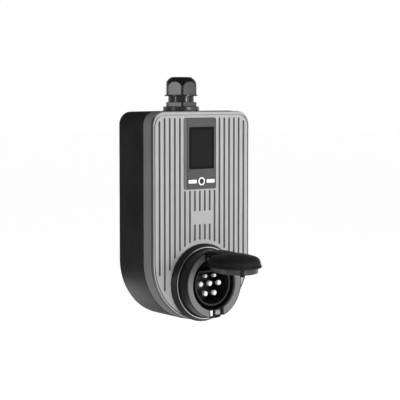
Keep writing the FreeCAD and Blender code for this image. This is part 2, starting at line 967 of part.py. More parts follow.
def socket_insert():
    """D-shaped contact carrier: its wall stands in the bore and its back closes the floor."""
    outer = d_shape(insert_radius, insert_flat, socket_floor, insert_front)
    inner = d_shape(insert_radius - insert_wall, insert_flat - insert_wall, socket_floor + insert_floor,
                    insert_front)
    plug = d_shape(insert_radius - insert_wall - thread_gap, insert_flat - insert_wall - thread_gap,
                   carrier_back, socket_floor)
    carrier = joined([outer.cut(inner), plug])
    holes = [rod(power_pin_radius, x, z, carrier_back, insert_front) for x, z in power_points]
    holes += [rod(signal_pin_radius, x, z, carrier_back, insert_front) for x, z in signal_points]
    return carrier.cut(holes)


def contact(radius, x, z, terminal):
    """One contact: pin, neck for the cap and screw terminal at the rear."""
    pin = rod(radius, x, z, carrier_back, contact_front - cap_length)
    neck = rod(radius * neck_ratio, x, z, contact_front - cap_length, contact_front - cap_skin)
    tail = rod(terminal, x, z, terminal_back, carrier_back)
    wire_hole = rod(terminal * neck_ratio, x, z, terminal_back, terminal_back + wire_hole_depth)
    return joined([pin, neck, tail]).cut(wire_hole)


def contact_cap(radius, neck, x, z):
    """White touch guard on a contact's tip."""
    back = contact_front - cap_length
    cap = rod(radius, x, z, back, contact_front)
    cap = cap.makeFillet(radius * cap_rounding, edges_at(cap, contact_front))
    return cap.cut(rod(neck, x, z, back, contact_front - cap_skin))


def power_pins():
    """Five power contacts."""
    return group([contact(power_pin_radius, x, z, terminal_radius) for x, z in power_points])


def power_pin_caps():
    """Touch guards of the power contacts."""
    neck = power_pin_radius * neck_ratio
    return group([contact_cap(power_cap_radius, neck, x, z) for x, z in power_points])


def signal_pins():
    """Two signal contacts."""
    return group([contact(signal_pin_radius, x, z, terminal_radius / 2) for x, z in signal_points])


def signal_pin_caps():
    """Touch guards of the signal contacts."""
    neck = signal_pin_radius * neck_ratio
    return group([contact_cap(signal_cap_radius, neck, x, z) for x, z in signal_points])


def lock_actuator():
    """Motor drive that bolts the plug in, standing on the socket's back half."""
    bottom = socket_z + actuator_rise
    body = rounded_block(-actuator_half_width, actuator_half_width, flange_back - actuator_length,
                         flange_back, bottom, bottom + actuator_height, actuator_corner)
    return body.cut(post(lock_pin_radius + running_gap, 0, lock_forward, bottom, lock_top + lock_head_room))


def lock_pin():
    """Sliding bolt of the plug lock."""
    return post(lock_pin_radius, 0, lock_forward, socket_z + lock_rise, lock_top)


# Lid and hinge


def swung(shape):
    """Turn a lid piece from its shut place to the open pose it rests in."""
    turned_piece = shape.copy()
    turned_piece.rotate(Vector(0, hinge_y, hinge_z), Vector(1, 0, 0), -lid_open_angle)
    return turned_piece


def crown(radius, back, height, shoulder):
    """Low dome on the socket's axis: a tight shoulder arc that runs on into a wide crown arc."""
    inset = radius - shoulder
    wide = (inset ** 2 + height ** 2 - shoulder ** 2) / (2 * (height - shoulder))
    rise = math.atan2(wide - height, inset)

    def at(centre_r, centre_f, arc_radius, angle):
        reach = centre_r + arc_radius * math.cos(angle)
        return Vector(reach, -(back + centre_f + arc_radius * math.sin(angle)), socket_z)

    centre = Vector(0, -back, socket_z)
    foot = at(inset, 0, shoulder, 0)
    join = at(inset, 0, shoulder, rise)
    tip = at(0, height - wide, wide, math.pi / 2)
    profile = Part.Wire([
        Part.LineSegment(centre, foot).toShape(),
        Part.Arc(foot, at(inset, 0, shoulder, rise / 2), join).toShape(),
        Part.Arc(join, at(0, height - wide, wide, (rise + math.pi / 2) / 2), tip).toShape(),
        Part.LineSegment(tip, centre).toShape(),
    ])
    return Part.Face(profile).revolve(centre, Vector(0, 1, 0), 360)


def latch_leg():
    """Sprung catch leg inside the lid's rim, at its free edge."""
    top = socket_z - leg_drop
    back = lid_seat - leg_reach
    front = lid_seat + seal_flange_depth + leg_root
    leg = box(leg_x - leg_half, leg_x + leg_half, back, front, top - leg_thickness, top)
    tip = [edge for edge in edges_at(leg, back) if edge.BoundBox.XLength > leg_half]
    return leg.makeChamfer(leg_chamfer, tip)


def lid_spine():
    """Crowned bar that carries the lid's top on over the hinge."""
    foot = -hinge_y
    top = lid_seat + lid_height - spine_drop
    edge = top - spine_crown

    def at(x, forward):
        return Vector(x, -forward, socket_z)

    profile = Part.Wire([
        Part.LineSegment(at(spine_half, foot), at(spine_half, edge)).toShape(),
        Part.Arc(at(spine_half, edge), at(0, top), at(-spine_half, edge)).toShape(),
        Part.LineSegment(at(-spine_half, edge), at(-spine_half, foot)).toShape(),
        Part.LineSegment(at(-spine_half, foot), at(spine_half, foot)).toShape(),
    ])
    spine = Part.Face(profile).extrude(Vector(0, 0, hinge_z + spine_end - socket_z))
    sides = [line for line in edges_at(spine, edge) if line.BoundBox.XLength < 0.01]
    return spine.makeFillet(spine_edge_radius, sides)


def lid():
    """Domed lid with a rim, a groove, a spine over its hinge, a knuckle and a catch leg."""
    groove_radius = lid_side_radius - lid_groove_depth
    outer = turned([
        (0, lid_seat), (lid_radius, lid_seat), (lid_radius, lid_seat + lid_rim),
        (groove_radius, lid_seat + lid_rim), (groove_radius, lid_seat + lid_rim + lid_groove),
        (lid_side_radius, lid_seat + lid_rim + lid_groove), (lid_side_radius, lid_seat + lid_side),
        (0, lid_seat + lid_side),
    ])
    dome = crown(lid_side_radius, lid_seat + lid_side, lid_height - lid_side, lid_shoulder)
    solid = joined([outer, dome, lid_spine(), x_rod(knuckle_radius, knuckle_half)])
    hollow_radius = seal_flange_radius - seal_lip
    inner = turned([
        (0, lid_seat), (seal_flange_radius + thread_gap, lid_seat),
        (seal_flange_radius + thread_gap, lid_seat + seal_flange_depth),
        (hollow_radius, lid_seat + seal_flange_depth), (hollow_radius, lid_seat + lid_side),
        (0, lid_seat + lid_side),
    ])
    inner = inner.fuse(crown(hollow_radius, lid_seat + lid_side, lid_height - lid_side - lid_wall,
                             lid_shoulder - lid_wall))
    reach = lug_width / 2 + slip_gap
    notch_front = lug_radius + lug_cover_gap - hinge_y
    notches = [box(side * lug_middle - reach, side * lug_middle + reach, lid_seat, notch_front,
                   hinge_z - lug_notch, hinge_z + lug_notch) for side in (-1, 1)]
    shell = solid.cut(notches + [inner, x_rod(hinge_pin_radius + running_gap, knuckle_half)])
    return swung(joined([shell, latch_leg()]))


def lid_seal():
    """Grey rubber plug under the lid, its skirt shallow at the hinge and deep at the free edge."""
    deep = lid_seat - seal_depth
    inner_radius = insert_radius + seal_clearance
    seal = turned([
        (0, lid_seat + seal_flange_depth), (seal_flange_radius, lid_seat + seal_flange_depth),
        (seal_flange_radius, lid_seat), (seal_radius, lid_seat), (seal_radius, deep + seal_chamfer),
        (seal_radius - seal_chamfer, deep), (inner_radius, deep), (inner_radius, insert_front + slip_gap),
        (0, insert_front + slip_gap),
    ])
    low = socket_z - seal_radius
    high = socket_z + seal_radius
    corners = [(lid_seat - seal_hinge_depth, high), (deep, low), (deep - wall, low), (deep - wall, high)]
    profile = Part.makePolygon([Vector(-seal_radius, -forward, z) for forward, z in corners + corners[:1]])
    slant = Part.Face(profile).extrude(Vector(2 * seal_radius, 0, 0))
    reach = leg_half + slip_gap
    groove = box(leg_x - reach, leg_x + reach, deep, lid_seat + seal_flange_depth,
                 socket_z - seal_flange_radius, socket_z - leg_drop + slip_gap)
    return swung(seal.cut([slant, groove]))


def hinge_bracket():
    """Two lugs on a base that is screwed to the top of the socket's face ring."""
    reach = lug_middle + lug_width / 2
    base = box(-reach, reach, nose_front, nose_front + bracket_thickness,
               socket_z + bracket_bottom_rise, socket_z + bracket_top_rise)
    pieces = [base]
    for side in (-1, 1):
        left = side * lug_middle - lug_width / 2
        eye = Vector(left, hinge_y, hinge_z)
        pieces.append(box(left, left + lug_width, nose_front, -hinge_y, hinge_z - lug_radius,
                          hinge_z + lug_radius))
        pieces.append(Part.makeCylinder(lug_radius, lug_width, eye, Vector(1, 0, 0)))
    holes = [rod(bracket_screw_radius, side * bracket_screw_x, bracket_screw_z, nose_front,
                 nose_front + bracket_thickness) for side in (-1, 1)]
    return joined(pieces).cut([x_rod(hinge_pin_radius, reach)] + holes)


def hinge_screws():
    """Two small screws through the hinge's base into the face ring."""
    screws = []
    for side in (-1, 1):
        x = side * bracket_screw_x
        seat = nose_front + bracket_thickness
        head = rod(bracket_screw_head_radius, x, bracket_screw_z, seat, seat + bracket_screw_head)
        shank = rod(bracket_screw_radius, x, bracket_screw_z, nose_front, seat)
        screws.append(joined([head, shank]))
    return group(screws)


def hinge_pin():
    """Steel pin that the lid turns on."""
    return x_rod(hinge_pin_radius, lug_middle + lug_width / 2)


# Cable gland


def gland_base():
    """Round sealing washer between the gland and the casing."""
    top = pad_top + gland_base_height
    base = post(gland_base_radius, 0, gland_depth, pad_top, top)
    rim = [edge for edge in base.Edges if abs(edge.BoundBox.ZMin - top) < 0.01]
    base = base.makeFillet(gland_base_rounding, rim)
    return base.cut(post(gland_thread_radius, 0, gland_depth, pad_top, top))


def gland_body():
    """Threaded tube of the gland with its hexagon and neck."""
    hex_bottom = pad_top + gland_base_height
    hex_top = hex_bottom + gland_hex_height
    sleeve_top = sleeve_seat + sleeve_height
    rounding = post(gland_corner_radius, 0, gland_depth, hex_bottom, hex_top)
    pieces = [
        hexagon(gland_flats, gland_depth, hex_bottom, hex_top, gland_turn).common(rounding),
        post(neck_radius, 0, gland_depth, hex_top, nut_bottom),
        post(nut_thread_radius, 0, gland_depth, nut_bottom, sleeve_top),
        post(gland_thread_radius, 0, gland_depth, stub_bottom, hex_bottom),
    ]
    bores = [
        post(cable_radius + cable_clearance, 0, gland_depth, stub_bottom, sleeve_seat),
        post(nut_thread_radius - sleeve_wall, 0, gland_depth, sleeve_seat, sleeve_top),
    ]
    return joined(pieces).cut(bores)


def gland_seal():
    """Rubber sleeve that the nut squeezes onto the cable."""
    mouth = nut_top - nut_mouth_depth
    outer = nut_thread_radius - sleeve_wall
    return spun_up([
        (cable_radius, sleeve_seat), (outer, sleeve_seat), (outer, sleeve_seat + sleeve_height),
        (nut_crown_radius - sleeve_wall, mouth), (cable_radius, mouth),
    ], gland_depth)


def nut_dome():
    """Turned bar that rounds off the corners and the top of the nut's hexagon."""
    corner = gland_corner_radius

    def at(radius, height):
        return Vector(radius, -gland_depth, nut_bottom + height)

    bulge = at(nut_bulge_radius, nut_bulge_height)
    profile = Part.Wire([
        Part.LineSegment(at(0, nut_lip), at(corner, nut_lip)).toShape(),
        Part.LineSegment(at(corner, nut_lip), at(corner, nut_shoulder)).toShape(),
        Part.Arc(at(corner, nut_shoulder), bulge, at(nut_crown_radius, nut_height)).toShape(),
        Part.LineSegment(at(nut_crown_radius, nut_height), at(0, nut_height)).toShape(),
        Part.LineSegment(at(0, nut_height), at(0, nut_lip)).toShape(),
    ])
    return Part.Face(profile).revolve(Vector(0, -gland_depth, 0), Vector(0, 0, 1), 360)


def gland_nut():
    """Domed hexagonal nut with a round lip at its foot."""
    lip = post(nut_lip_radius, 0, gland_depth, nut_bottom, nut_bottom + nut_lip)
    barrel = hexagon(gland_flats, gland_depth, nut_bottom + nut_lip, nut_top, gland_turn)
    nut = joined([lip, barrel.common(nut_dome())])
    sleeve_top = sleeve_seat + sleeve_height
    mouth = nut_top - nut_mouth_depth
    thread = nut_thread_radius + thread_gap
    bore = spun_up([
        (0, nut_bottom), (thread, nut_bottom), (thread, sleeve_top), (thread - sleeve_wall, sleeve_top),
        (nut_crown_radius - sleeve_wall + thread_gap, mouth), (cable_radius + nut_mouth_gap, mouth),
        (cable_radius + nut_mouth_gap, nut_top), (0, nut_top),
    ], gland_depth)
    return nut.cut(bore)


def gland_locknut():
    """Thin nut that clamps the gland from inside the casing."""
    top = top_z - wall
    nut = hexagon(gland_flats - locknut_less, gland_depth, top - locknut_height, top, gland_turn)
    return nut.cut(post(gland_thread_radius + thread_gap, 0, gland_depth, top - locknut_height, top))


# Fixings


def wall_inserts():
    """Four brass threaded inserts, flush with the flat back."""
    inserts = []
    for x, z in wall_points:
        sleeve = rod(brass_radius, x, z, 0, brass_length)
        inserts.append(sleeve.cut(rod(wall_thread_radius, x, z, 0, brass_length)))
    return group(inserts)


def housing_screws():
    """Six long screws that pull the two halves of the box together from behind."""
    screws = []
    for x, z in closing_points:
        head = rod(screw_head_radius, x, z, screw_head_depth - screw_head_height, screw_head_depth)
        shank = rod(screw_radius, x, z, screw_head_depth, screw_tip)
        key = hexagon(screw_key_flats, 0, 0, screw_key_depth, 0)
        key.rotate(Vector(0, 0, 0), Vector(1, 0, 0), 90)
        key.translate(Vector(x, screw_head_height - screw_head_depth, z))
        screws.append(joined([head, shank]).cut(key))
    return group(screws)


def panel_screws():
    """Six short screws from the band's ledge into the back of the front plate."""
    ledge = plate_back - ledge_depth
    tip = plate_back + panel_screw_depth - panel_screw_tip_gap
    screws = []
    for x, z in panel_points:
        head = rod(panel_screw_head_radius, x, z, ledge - panel_screw_head_height, ledge)
        shank = rod(panel_screw_radius, x, z, ledge, tip)
        screws.append(joined([head, shank]))
    return group(screws)


# Electronics


def main_board():
    """Power and control circuit board."""
    board = box(-board_half_width, board_half_width, board_back, board_front, board_bottom, board_top)
    return board.cut([rod(standoff_thread_radius, x, z, board_back, board_front) for x, z in board_points])


def board_standoffs():
    """Four posts between the back wall and the board."""
    posts = []
    for x, z in board_points:
        pillar = rod(standoff_radius, x, z, wall, board_back)
        posts.append(pillar.cut(rod(standoff_thread_radius, x, z, wall + standoff_floor, board_back)))
    return group(posts)


def board_screws():
    """Four screws that hold the board to its posts."""
    screws = []
    for x, z in board_points:
        head = rod(panel_screw_head_radius, x, z, board_front, board_front + panel_screw_head_height)
        shank = rod(standoff_thread_radius, x, z, board_back - board_screw_reach, board_front)
        screws.append(joined([head, shank]))
    return group(screws)


def relays():
    """Four power relays, one for each live line and one for neutral."""
    bodies = []
    for number in range(relay_count):
        left = relay_x + number * relay_pitch
        bodies.append(rounded_block(left, left + relay_width, board_front, board_front + relay_depth,
                                    relay_z, relay_z + relay_height, relay_corner))
    return group(bodies)


def current_sensor():
    """Ring-shaped sensor that watches for leakage current."""
    ring = rod(sensor_radius, sensor_x, sensor_z, board_front, board_front + sensor_depth)
    ring = ring.makeFillet(sensor_edge_radius, edges_at(ring, board_front + sensor_depth))
    return ring.cut(rod(sensor_bore, sensor_x, sensor_z, board_front, board_front + sensor_depth))


def power_supply():
    """Potted supply module for the electronics."""
    return rounded_block(supply_left, supply_right, board_front, board_front + supply_depth,
                         supply_bottom, supply_top, supply_corner)


def capacitors():
    """Three capacitors that stand on the board."""
    cans = []
    for number in range(capacitor_count):
        can = rod(capacitor_radius, capacitor_x + number * capacitor_pitch, capacitor_z, board_front,
                  board_front + capacitor_height)
        cans.append(can.makeFillet(capacitor_edge_radius, edges_at(can, board_front + capacitor_height)))
    return group(cans)


def terminal_block():
    """Screw terminals for the supply wires, below the gland."""
    reach = input_poles * input_pitch / 2
    front = board_front + input_depth
    top = input_bottom + input_height
    block = box(-reach, reach, board_front, front, input_bottom, top)
    cutters = []
    for number in range(input_poles):
        x = (number + 0.5) * input_pitch - reach
        screw_z = input_bottom + input_height / 2
        cutters.append(rod(input_screw_radius, x, screw_z, front - input_screw_depth, front))
        cutters.append(post(input_wire_radius, x, board_front + input_wire_rise, top - input_wire_depth, top))
    return block.cut(cutters)


def output_block():
    """Terminals at the board's lower edge for the leads to the socket."""
    block = box(-output_half, output_half, board_front, board_front + output_depth,
                output_bottom, output_bottom + output_height)
    return block.cut([post(lead_radius, x, lead_forward, output_bottom, output_bottom + lead_tail)
                      for x, z in power_points])


def lead(x, z):
    """One lead: back from the bottom of a contact's wire hole, round a bend and up to the board."""
    start = Vector(x, -terminal_back - wire_hole_depth, z)
    turn_in = Vector(x, -lead_forward - lead_bend, z)
    slant = lead_bend * (1 - math.sqrt(0.5))
    middle = Vector(x, -lead_forward - slant, z + slant)
    turn_out = Vector(x, -lead_forward, z + lead_bend)
    end = Vector(x, -lead_forward, output_bottom + lead_tail)
    path = Part.Wire([
        Part.LineSegment(start, turn_in).toShape(),
        Part.Arc(turn_in, middle, turn_out).toShape(),
        Part.LineSegment(turn_out, end).toShape(),
    ])
    profile = Part.Wire([Part.Circle(start, Vector(0, 1, 0), lead_radius).toShape()])
    return path.makePipeShell([profile], True, True)


def power_leads():
    """Five heavy leads from the board to the power contacts."""
    return group([lead(x, z) for x, z in power_points])


def fuse():
    """Glass fuse between its two end caps, on two clips."""
    half = fuse_length / 2
    level = board_front + fuse_rise
    cap_bottoms = (fuse_z - half, fuse_z + half - fuse_cap_length)
    glass = post(fuse_radius, fuse_x, level, fuse_z - half, fuse_z + half)
    caps = [post(fuse_radius + fuse_cap_skin, fuse_x, level, z, z + fuse_cap_length) for z in cap_bottoms]
    clips = [box(fuse_x - fuse_clip_half, fuse_x + fuse_clip_half, board_front, level, z + fuse_clip_inset,
                 z + fuse_cap_length - fuse_clip_inset) for z in cap_bottoms]
    return joined([glass] + caps + clips)


def wireless_module():
    """Radio module with its shield can."""
    base_front = board_front + radio_base
    base = box(radio_left, radio_left + radio_width, board_front, base_front, radio_bottom,
               radio_bottom + radio_height)
    can = box(radio_left + radio_can_inset, radio_left + radio_width - radio_can_inset, base_front,
              base_front + radio_can_height, radio_bottom + radio_can_inset,
              radio_bottom + radio_height - radio_aerial)
    return joined([base, can])


# Build


def pieces():
    """Every node of the charger with the function that makes it."""
    return [
        rear_housing, housing_gasket, front_frame, front_panel, display_bezel, screen_lens, lcd_module,
        status_bars, button_ring, button_cap, button_switch, display_board, display_screws, socket_collar,
        collar_trim, socket_shell, socket_gasket, socket_screws, socket_ring, socket_insert, power_pins,
        power_pin_caps, signal_pins, signal_pin_caps, lock_actuator, lock_pin, lid, lid_seal, hinge_bracket,
        hinge_screws, hinge_pin, latch_leaf, latch_keeper, gland_base, gland_body, gland_seal, gland_nut,
        gland_locknut, wall_inserts, housing_screws, panel_screws, main_board, board_standoffs, board_screws,
        relays, current_sensor, power_supply, capacitors, terminal_block, output_block, power_leads, fuse,
        wireless_module,
    ]


def main():
    """Build and write every node."""
    os.makedirs("parts", exist_ok=True)
    for make in pieces():
        shape = make()
        if not shape.isValid():
            raise ValueError("%s is not a valid solid" % make.__name__)
        save(make.__name__, shape)
        print(make.__name__, len(shape.Solids), round(shape.Volume))


main()
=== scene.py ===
"""Looks of the portable electric vehicle charger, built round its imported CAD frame.

Everything is in metres in the frame of the CAD part: X to the right, the front towards -Y, Z up
and the wall at y = 0. Each sub-assembly is a class that dresses its CAD nodes and models the
pieces that the CAD leaves plain.
"""

import logging
import math
from dataclasses import dataclass
from enum import Enum
from functools import cache
from typing import Callable, NamedTuple, Optional, Sequence, Union

import bpy
from mathutils import Matrix, Vector


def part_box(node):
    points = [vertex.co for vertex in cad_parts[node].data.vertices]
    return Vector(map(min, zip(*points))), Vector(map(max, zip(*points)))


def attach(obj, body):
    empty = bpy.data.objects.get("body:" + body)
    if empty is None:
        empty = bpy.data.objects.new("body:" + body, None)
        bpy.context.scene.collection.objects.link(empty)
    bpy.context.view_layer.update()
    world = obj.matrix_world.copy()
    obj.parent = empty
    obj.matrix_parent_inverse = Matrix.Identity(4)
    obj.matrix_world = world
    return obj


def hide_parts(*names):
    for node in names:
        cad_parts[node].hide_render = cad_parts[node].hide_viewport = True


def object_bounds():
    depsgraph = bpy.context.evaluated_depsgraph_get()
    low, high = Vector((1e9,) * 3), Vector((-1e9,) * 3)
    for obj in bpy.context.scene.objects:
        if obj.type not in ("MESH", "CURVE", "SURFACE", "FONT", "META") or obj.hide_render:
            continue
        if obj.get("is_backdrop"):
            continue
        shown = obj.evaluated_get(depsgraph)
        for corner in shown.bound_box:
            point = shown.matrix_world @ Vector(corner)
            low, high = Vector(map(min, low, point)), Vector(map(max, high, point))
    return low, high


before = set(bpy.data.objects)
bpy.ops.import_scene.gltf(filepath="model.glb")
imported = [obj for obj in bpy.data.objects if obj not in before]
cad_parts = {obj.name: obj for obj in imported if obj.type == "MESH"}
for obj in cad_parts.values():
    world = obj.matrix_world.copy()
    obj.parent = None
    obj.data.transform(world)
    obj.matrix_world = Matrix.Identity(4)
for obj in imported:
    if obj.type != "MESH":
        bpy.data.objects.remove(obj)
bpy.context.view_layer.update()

log = logging.getLogger("charger")

MM = 0.001
FORWARD = Vector((0, -1, 0))
MERGE_REACH = 1e-6
WHITE = (1.0, 1.0, 1.0, 1.0)

Shade = tuple[float, float, float]
Rgba = tuple[float, float, float, float]
Socket = bpy.types.NodeSocket
Value = Union[Socket, float, Rgba]


# Shader graphs


FLOAT = "NodeSocketFloat"
VECTOR = "NodeSocketVector"

# Places of a Mix node's sockets where it mixes colours
MIX_FACTOR, MIX_FIRST, MIX_SECOND = 0, 6, 7
MIX_RESULT = 2


class Graph:
    """A node tree with short calls to add nodes and to join them."""

    column_width = 180
    row_height = 60
    rows = 5
    edge_samples = 4

    def __init__(self, tree: bpy.types.NodeTree) -> None:
        """Keep the tree and start an empty row of nodes."""
        self.tree = tree
        self.column = 0

    def node(self, kind: str, **settings: object) -> bpy.types.Node:
        """Add one node.

        Args:
            kind: Blender's identifier of the node.
            settings: Attributes of the node, or values of inputs where the name starts with in_.

        Returns:
            The new node.
        """
        made = self.tree.nodes.new(kind)
        self.column += 1
        row = self.column % self.rows
        made.location = (self.column * self.column_width, -row * self.row_height)
        for name, value in settings.items():
            if name.startswith("in_"):
                self.feed(made.inputs[name.removeprefix("in_")], value)
            else:
                setattr(made, name, value)
        return made

    def feed(self, target: Socket, value: Value) -> None:
        """Join an output to an input, or write a number or a colour in the input.

        Args:
            target: The input.
            value: The output, number or colour.
        """
        if isinstance(value, Socket):
            self.tree.links.new(value, target)
        else:
            target.default_value = value

    def fill(self, target: bpy.types.Node, **values: Value) -> None:
        """Feed inputs of a node, each named with an underscore for a space."""
        for name, value in values.items():
            self.feed(target.inputs[name.replace("_", " ")], value)

    def group(self, tree: bpy.types.NodeTree, **values: Value) -> bpy.types.NodeOutputs:
        """Place a shared group.

        Args:
            tree: The group.
            values: Values of its inputs, each named with an underscore for a space.

        Returns:
            The group's results.
        """
        made = self.node("ShaderNodeGroup", node_tree=tree)
        self.fill(made, **values)
        return made.outputs

    def math(self, operation: str, first: Value, second: Value = 0.0) -> Socket:
        """Add a maths node.

        Args:
            operation: Name of the operation.
            first: Its first input.
            second: Its second input.

        Returns:
            The node's result.
        """
        made = self.node("ShaderNodeMath", operation=operation)
        self.feed(made.inputs[0], first)
        self.feed(made.inputs[1], second)
        return made.outputs[0]

    def ramp(self, value: Socket, low: float, high: float, start: float = 0.0,
             end: float = 1.0) -> Socket:
        """Map a value smoothly from one range to another and clamp it.

        Args:
            value: Socket that is mapped.
            low: End of the range read that gives the start.
            high: End of the range read that gives the end.
            start: Result at the low end.
            end: Result at the high end.

        Returns:
            The mapped value.
        """
        made = self.node("ShaderNodeMapRange", interpolation_type="SMOOTHSTEP")
        self.fill(made, Value=value, From_Min=low, From_Max=high, To_Min=start, To_Max=end)
        return made.outputs["Result"]

    def between(self, mask: Socket, start: float, end: float) -> Socket:
        """Value that goes from one number to another as a mask goes from nought to one."""
        return self.ramp(mask, 0.0, 1.0, start, end)

    def mix(self, mask: Value, first: Value, second: Value) -> Socket:
        """Mix two colours.

        Args:
            mask: How much of the second shows.
            first: The colour at nought.
            second: The colour at one.

        Returns:
            The mixed colour.
        """
        made = self.node("ShaderNodeMix", data_type="RGBA")
        self.feed(made.inputs[MIX_FACTOR], mask)
        self.feed(made.inputs[MIX_FIRST], first)
        self.feed(made.inputs[MIX_SECOND], second)
        return made.outputs[MIX_RESULT]

    def layer(self, under: Socket, over: Rgba, mask: Socket, cover: float) -> Socket:
        """Lay a colour over another by a share of a mask."""
        return self.mix(self.math("MULTIPLY", mask, cover), under, over)

    def place(self) -> Socket:
        """Place on the object."""
        return self.node("ShaderNodeTexCoord").outputs["Object"]

    def axes(self, place: Socket) -> bpy.types.NodeOutputs:
        """Split a place into its X, Y and Z."""
        return self.node("ShaderNodeSeparateXYZ", in_Vector=place).outputs

    def noise(self, scale: Value, detail: float = 2.0, roughness: float = 0.5) -> Socket:
        """Noise over the object.

        Args:
            scale: How fine it is.
            detail: Number of finer noises that are added to it.
            roughness: Weight of the finer ones.

        Returns:
            The noise, from nought to one.
        """
        made = self.node("ShaderNodeTexNoise", in_Detail=detail, in_Roughness=roughness)
        self.fill(made, Vector=self.place(), Scale=scale)
        return made.outputs["Fac"]

    def rounded(self, radius: Value) -> Socket:
        """Normal of the surface as if its edges were rounded by a radius."""
        edge = self.node("ShaderNodeBevel", samples=self.edge_samples, in_Radius=radius)
        return edge.outputs["Normal"]

    def bump(self, height: Socket, distance: Value, strength: Value,
             normal: Optional[Socket] = None) -> Socket:
        """Relief on the surface.

        Args:
            height: How high each place stands, from nought to one.
            distance: Height of one, in metres.
            strength: How much of the relief shows.
            normal: Normal that the relief is laid on, where it isn't the surface's own.

        Returns:
            The normal.
        """
        made = self.node("ShaderNodeBump")
        self.fill(made, Height=height, Distance=distance, Strength=strength)
        if normal is not None:
            self.feed(made.inputs["Normal"], normal)
        return made.outputs["Normal"]


def group_tree(name: str, inputs: dict[str, float], outputs: dict[str, str]
               ) -> tuple[Graph, bpy.types.NodeOutputs, bpy.types.NodeInputs]:
    """Start a node group.

    Args:
        name: Name of the group.
        inputs: Name and default of each number that the group takes.
        outputs: Name and kind of each result.

    Returns:
        The graph, the numbers that it is given and the results that it puts out.
    """
    tree = bpy.data.node_groups.new(name, "ShaderNodeTree")
    for label, default in inputs.items():
        made = tree.interface.new_socket(label, in_out="INPUT", socket_type=FLOAT)
        made.default_value = default
    for label, kind in outputs.items():
        tree.interface.new_socket(label, in_out="OUTPUT", socket_type=kind)
    graph = Graph(tree)
    return graph, graph.node("NodeGroupInput").outputs, graph.node("NodeGroupOutput").inputs


class Effects:
    """Node groups that several finishes share, each built once."""

    def __init__(self) -> None:
        """Build every group."""
        self.grain = self._grain()
        self.wear = self._wear()
        self.mottle = self._mottle()
        self.turning = self._turning()

    @staticmethod
    def _grain() -> bpy.types.NodeTree:
        """Spark-eroded mould texture.

        Returns:
            Group that puts out a normal and a mask of the grain's pits.
        """
        graph, given, out = group_tree(
            "mould_grain",
            {"Scale": 2600.0, "Height": 0.00002, "Strength": 0.25, "Rounding": 0.0003},
            {"Normal": VECTOR, "Pits": FLOAT},
        )
        noise = graph.noise(given["Scale"], detail=3.0, roughness=0.62)
        edge = graph.rounded(given["Rounding"])
        graph.feed(out["Normal"], graph.bump(noise, given["Height"], given["Strength"], edge))
        graph.feed(out["Pits"], graph.ramp(noise, low=0.35, high=0.6))
        return graph.tree

    @staticmethod
    def _wear() -> bpy.types.NodeTree:
        """Polish along edges that hands and boxes rub.

        Returns:
            Group that puts out a mask of the worn edges.
        """
        graph, given, out = group_tree(
            "edge_wear", {"Width": 0.0008, "Breakup": 260.0}, {"Mask": FLOAT})
        cosine = graph.node("ShaderNodeVectorMath", operation="DOT_PRODUCT")
        graph.feed(cosine.inputs[0], graph.rounded(given["Width"]))
        graph.feed(cosine.inputs[1], graph.node("ShaderNodeNewGeometry").outputs["Normal"])
        bent = graph.math("SUBTRACT", 1.0, cosine.outputs["Value"])
        broken = graph.ramp(graph.noise(given["Breakup"], detail=4.0), low=0.38, high=0.62)
        worn = graph.math("MULTIPLY", graph.ramp(bent, low=0.02, high=0.25), broken)
        graph.feed(out["Mask"], worn)
        return graph.tree

    @staticmethod
    def _mottle() -> bpy.types.NodeTree:
        """Faint clouding from handling and flow of the moulded melt.

        Returns:
            Group that puts out a broad mask and a fine one.
        """
        graph, given, out = group_tree(
            "handling_mottle", {"Broad": 14.0, "Fine": 420.0}, {"Clouds": FLOAT, "Specks": FLOAT})
        broad = graph.noise(given["Broad"], detail=5.0, roughness=0.55)
        fine = graph.noise(given["Fine"])
        graph.feed(out["Clouds"], graph.ramp(broad, low=0.3, high=0.7))
        graph.feed(out["Specks"], graph.ramp(fine, low=0.64, high=0.78))
        return graph.tree

    @staticmethod
    def _turning() -> bpy.types.NodeTree:
        """Fine rings that a lathe leaves, about an axis that points forward.

        Returns:
            Group that puts out a normal.
        """
        graph, given, out = group_tree(
            "lathe_rings",
            {"Centre Z": 0.0, "Pitch": 9000.0, "Strength": 0.12, "Height": 0.00001},
            {"Normal": VECTOR},
        )
        axes = graph.axes(graph.place())
        rise = graph.math("SUBTRACT", axes["Z"], given["Centre Z"])
        square = graph.math("ADD", graph.math("MULTIPLY", axes["X"], axes["X"]),
                            graph.math("MULTIPLY", rise, rise))
        reach = graph.math("ADD", graph.math("SQRT", square), axes["Y"])
        wave = graph.math("SINE", graph.math("MULTIPLY", reach, given["Pitch"]))
        graph.feed(out["Normal"], graph.bump(wave, given["Height"], given["Strength"]))
        return graph.tree


effects = Effects()


def seen_rays(graph: Graph) -> Socket:
    """Rays that show the surround: straight from the camera, mirrored or through glass.

    Args:
        graph: Graph of a material or of the world.

    Returns:
        Mask that is one for those rays.
    """
    path = graph.node("ShaderNodeLightPath").outputs
    seen = graph.math("MAXIMUM", path["Is Camera Ray"], path["Is Transmission Ray"])
    return graph.math("MAXIMUM", seen, path["Is Glossy Ray"])


def rgba(shade: Shade) -> Rgba:
    """A colour with full cover."""
    return (*shade, 1.0)


def lighter(shade: Shade, share: float) -> Rgba:
    """A colour moved towards white by a share."""
    return rgba(tuple(value + (1.0 - value) * share for value in shade))


def darker(shade: Shade, share: float) -> Rgba:
    """A colour moved towards black by a share."""
    return rgba(tuple(value * (1.0 - share) for value in shade))


# Finishes


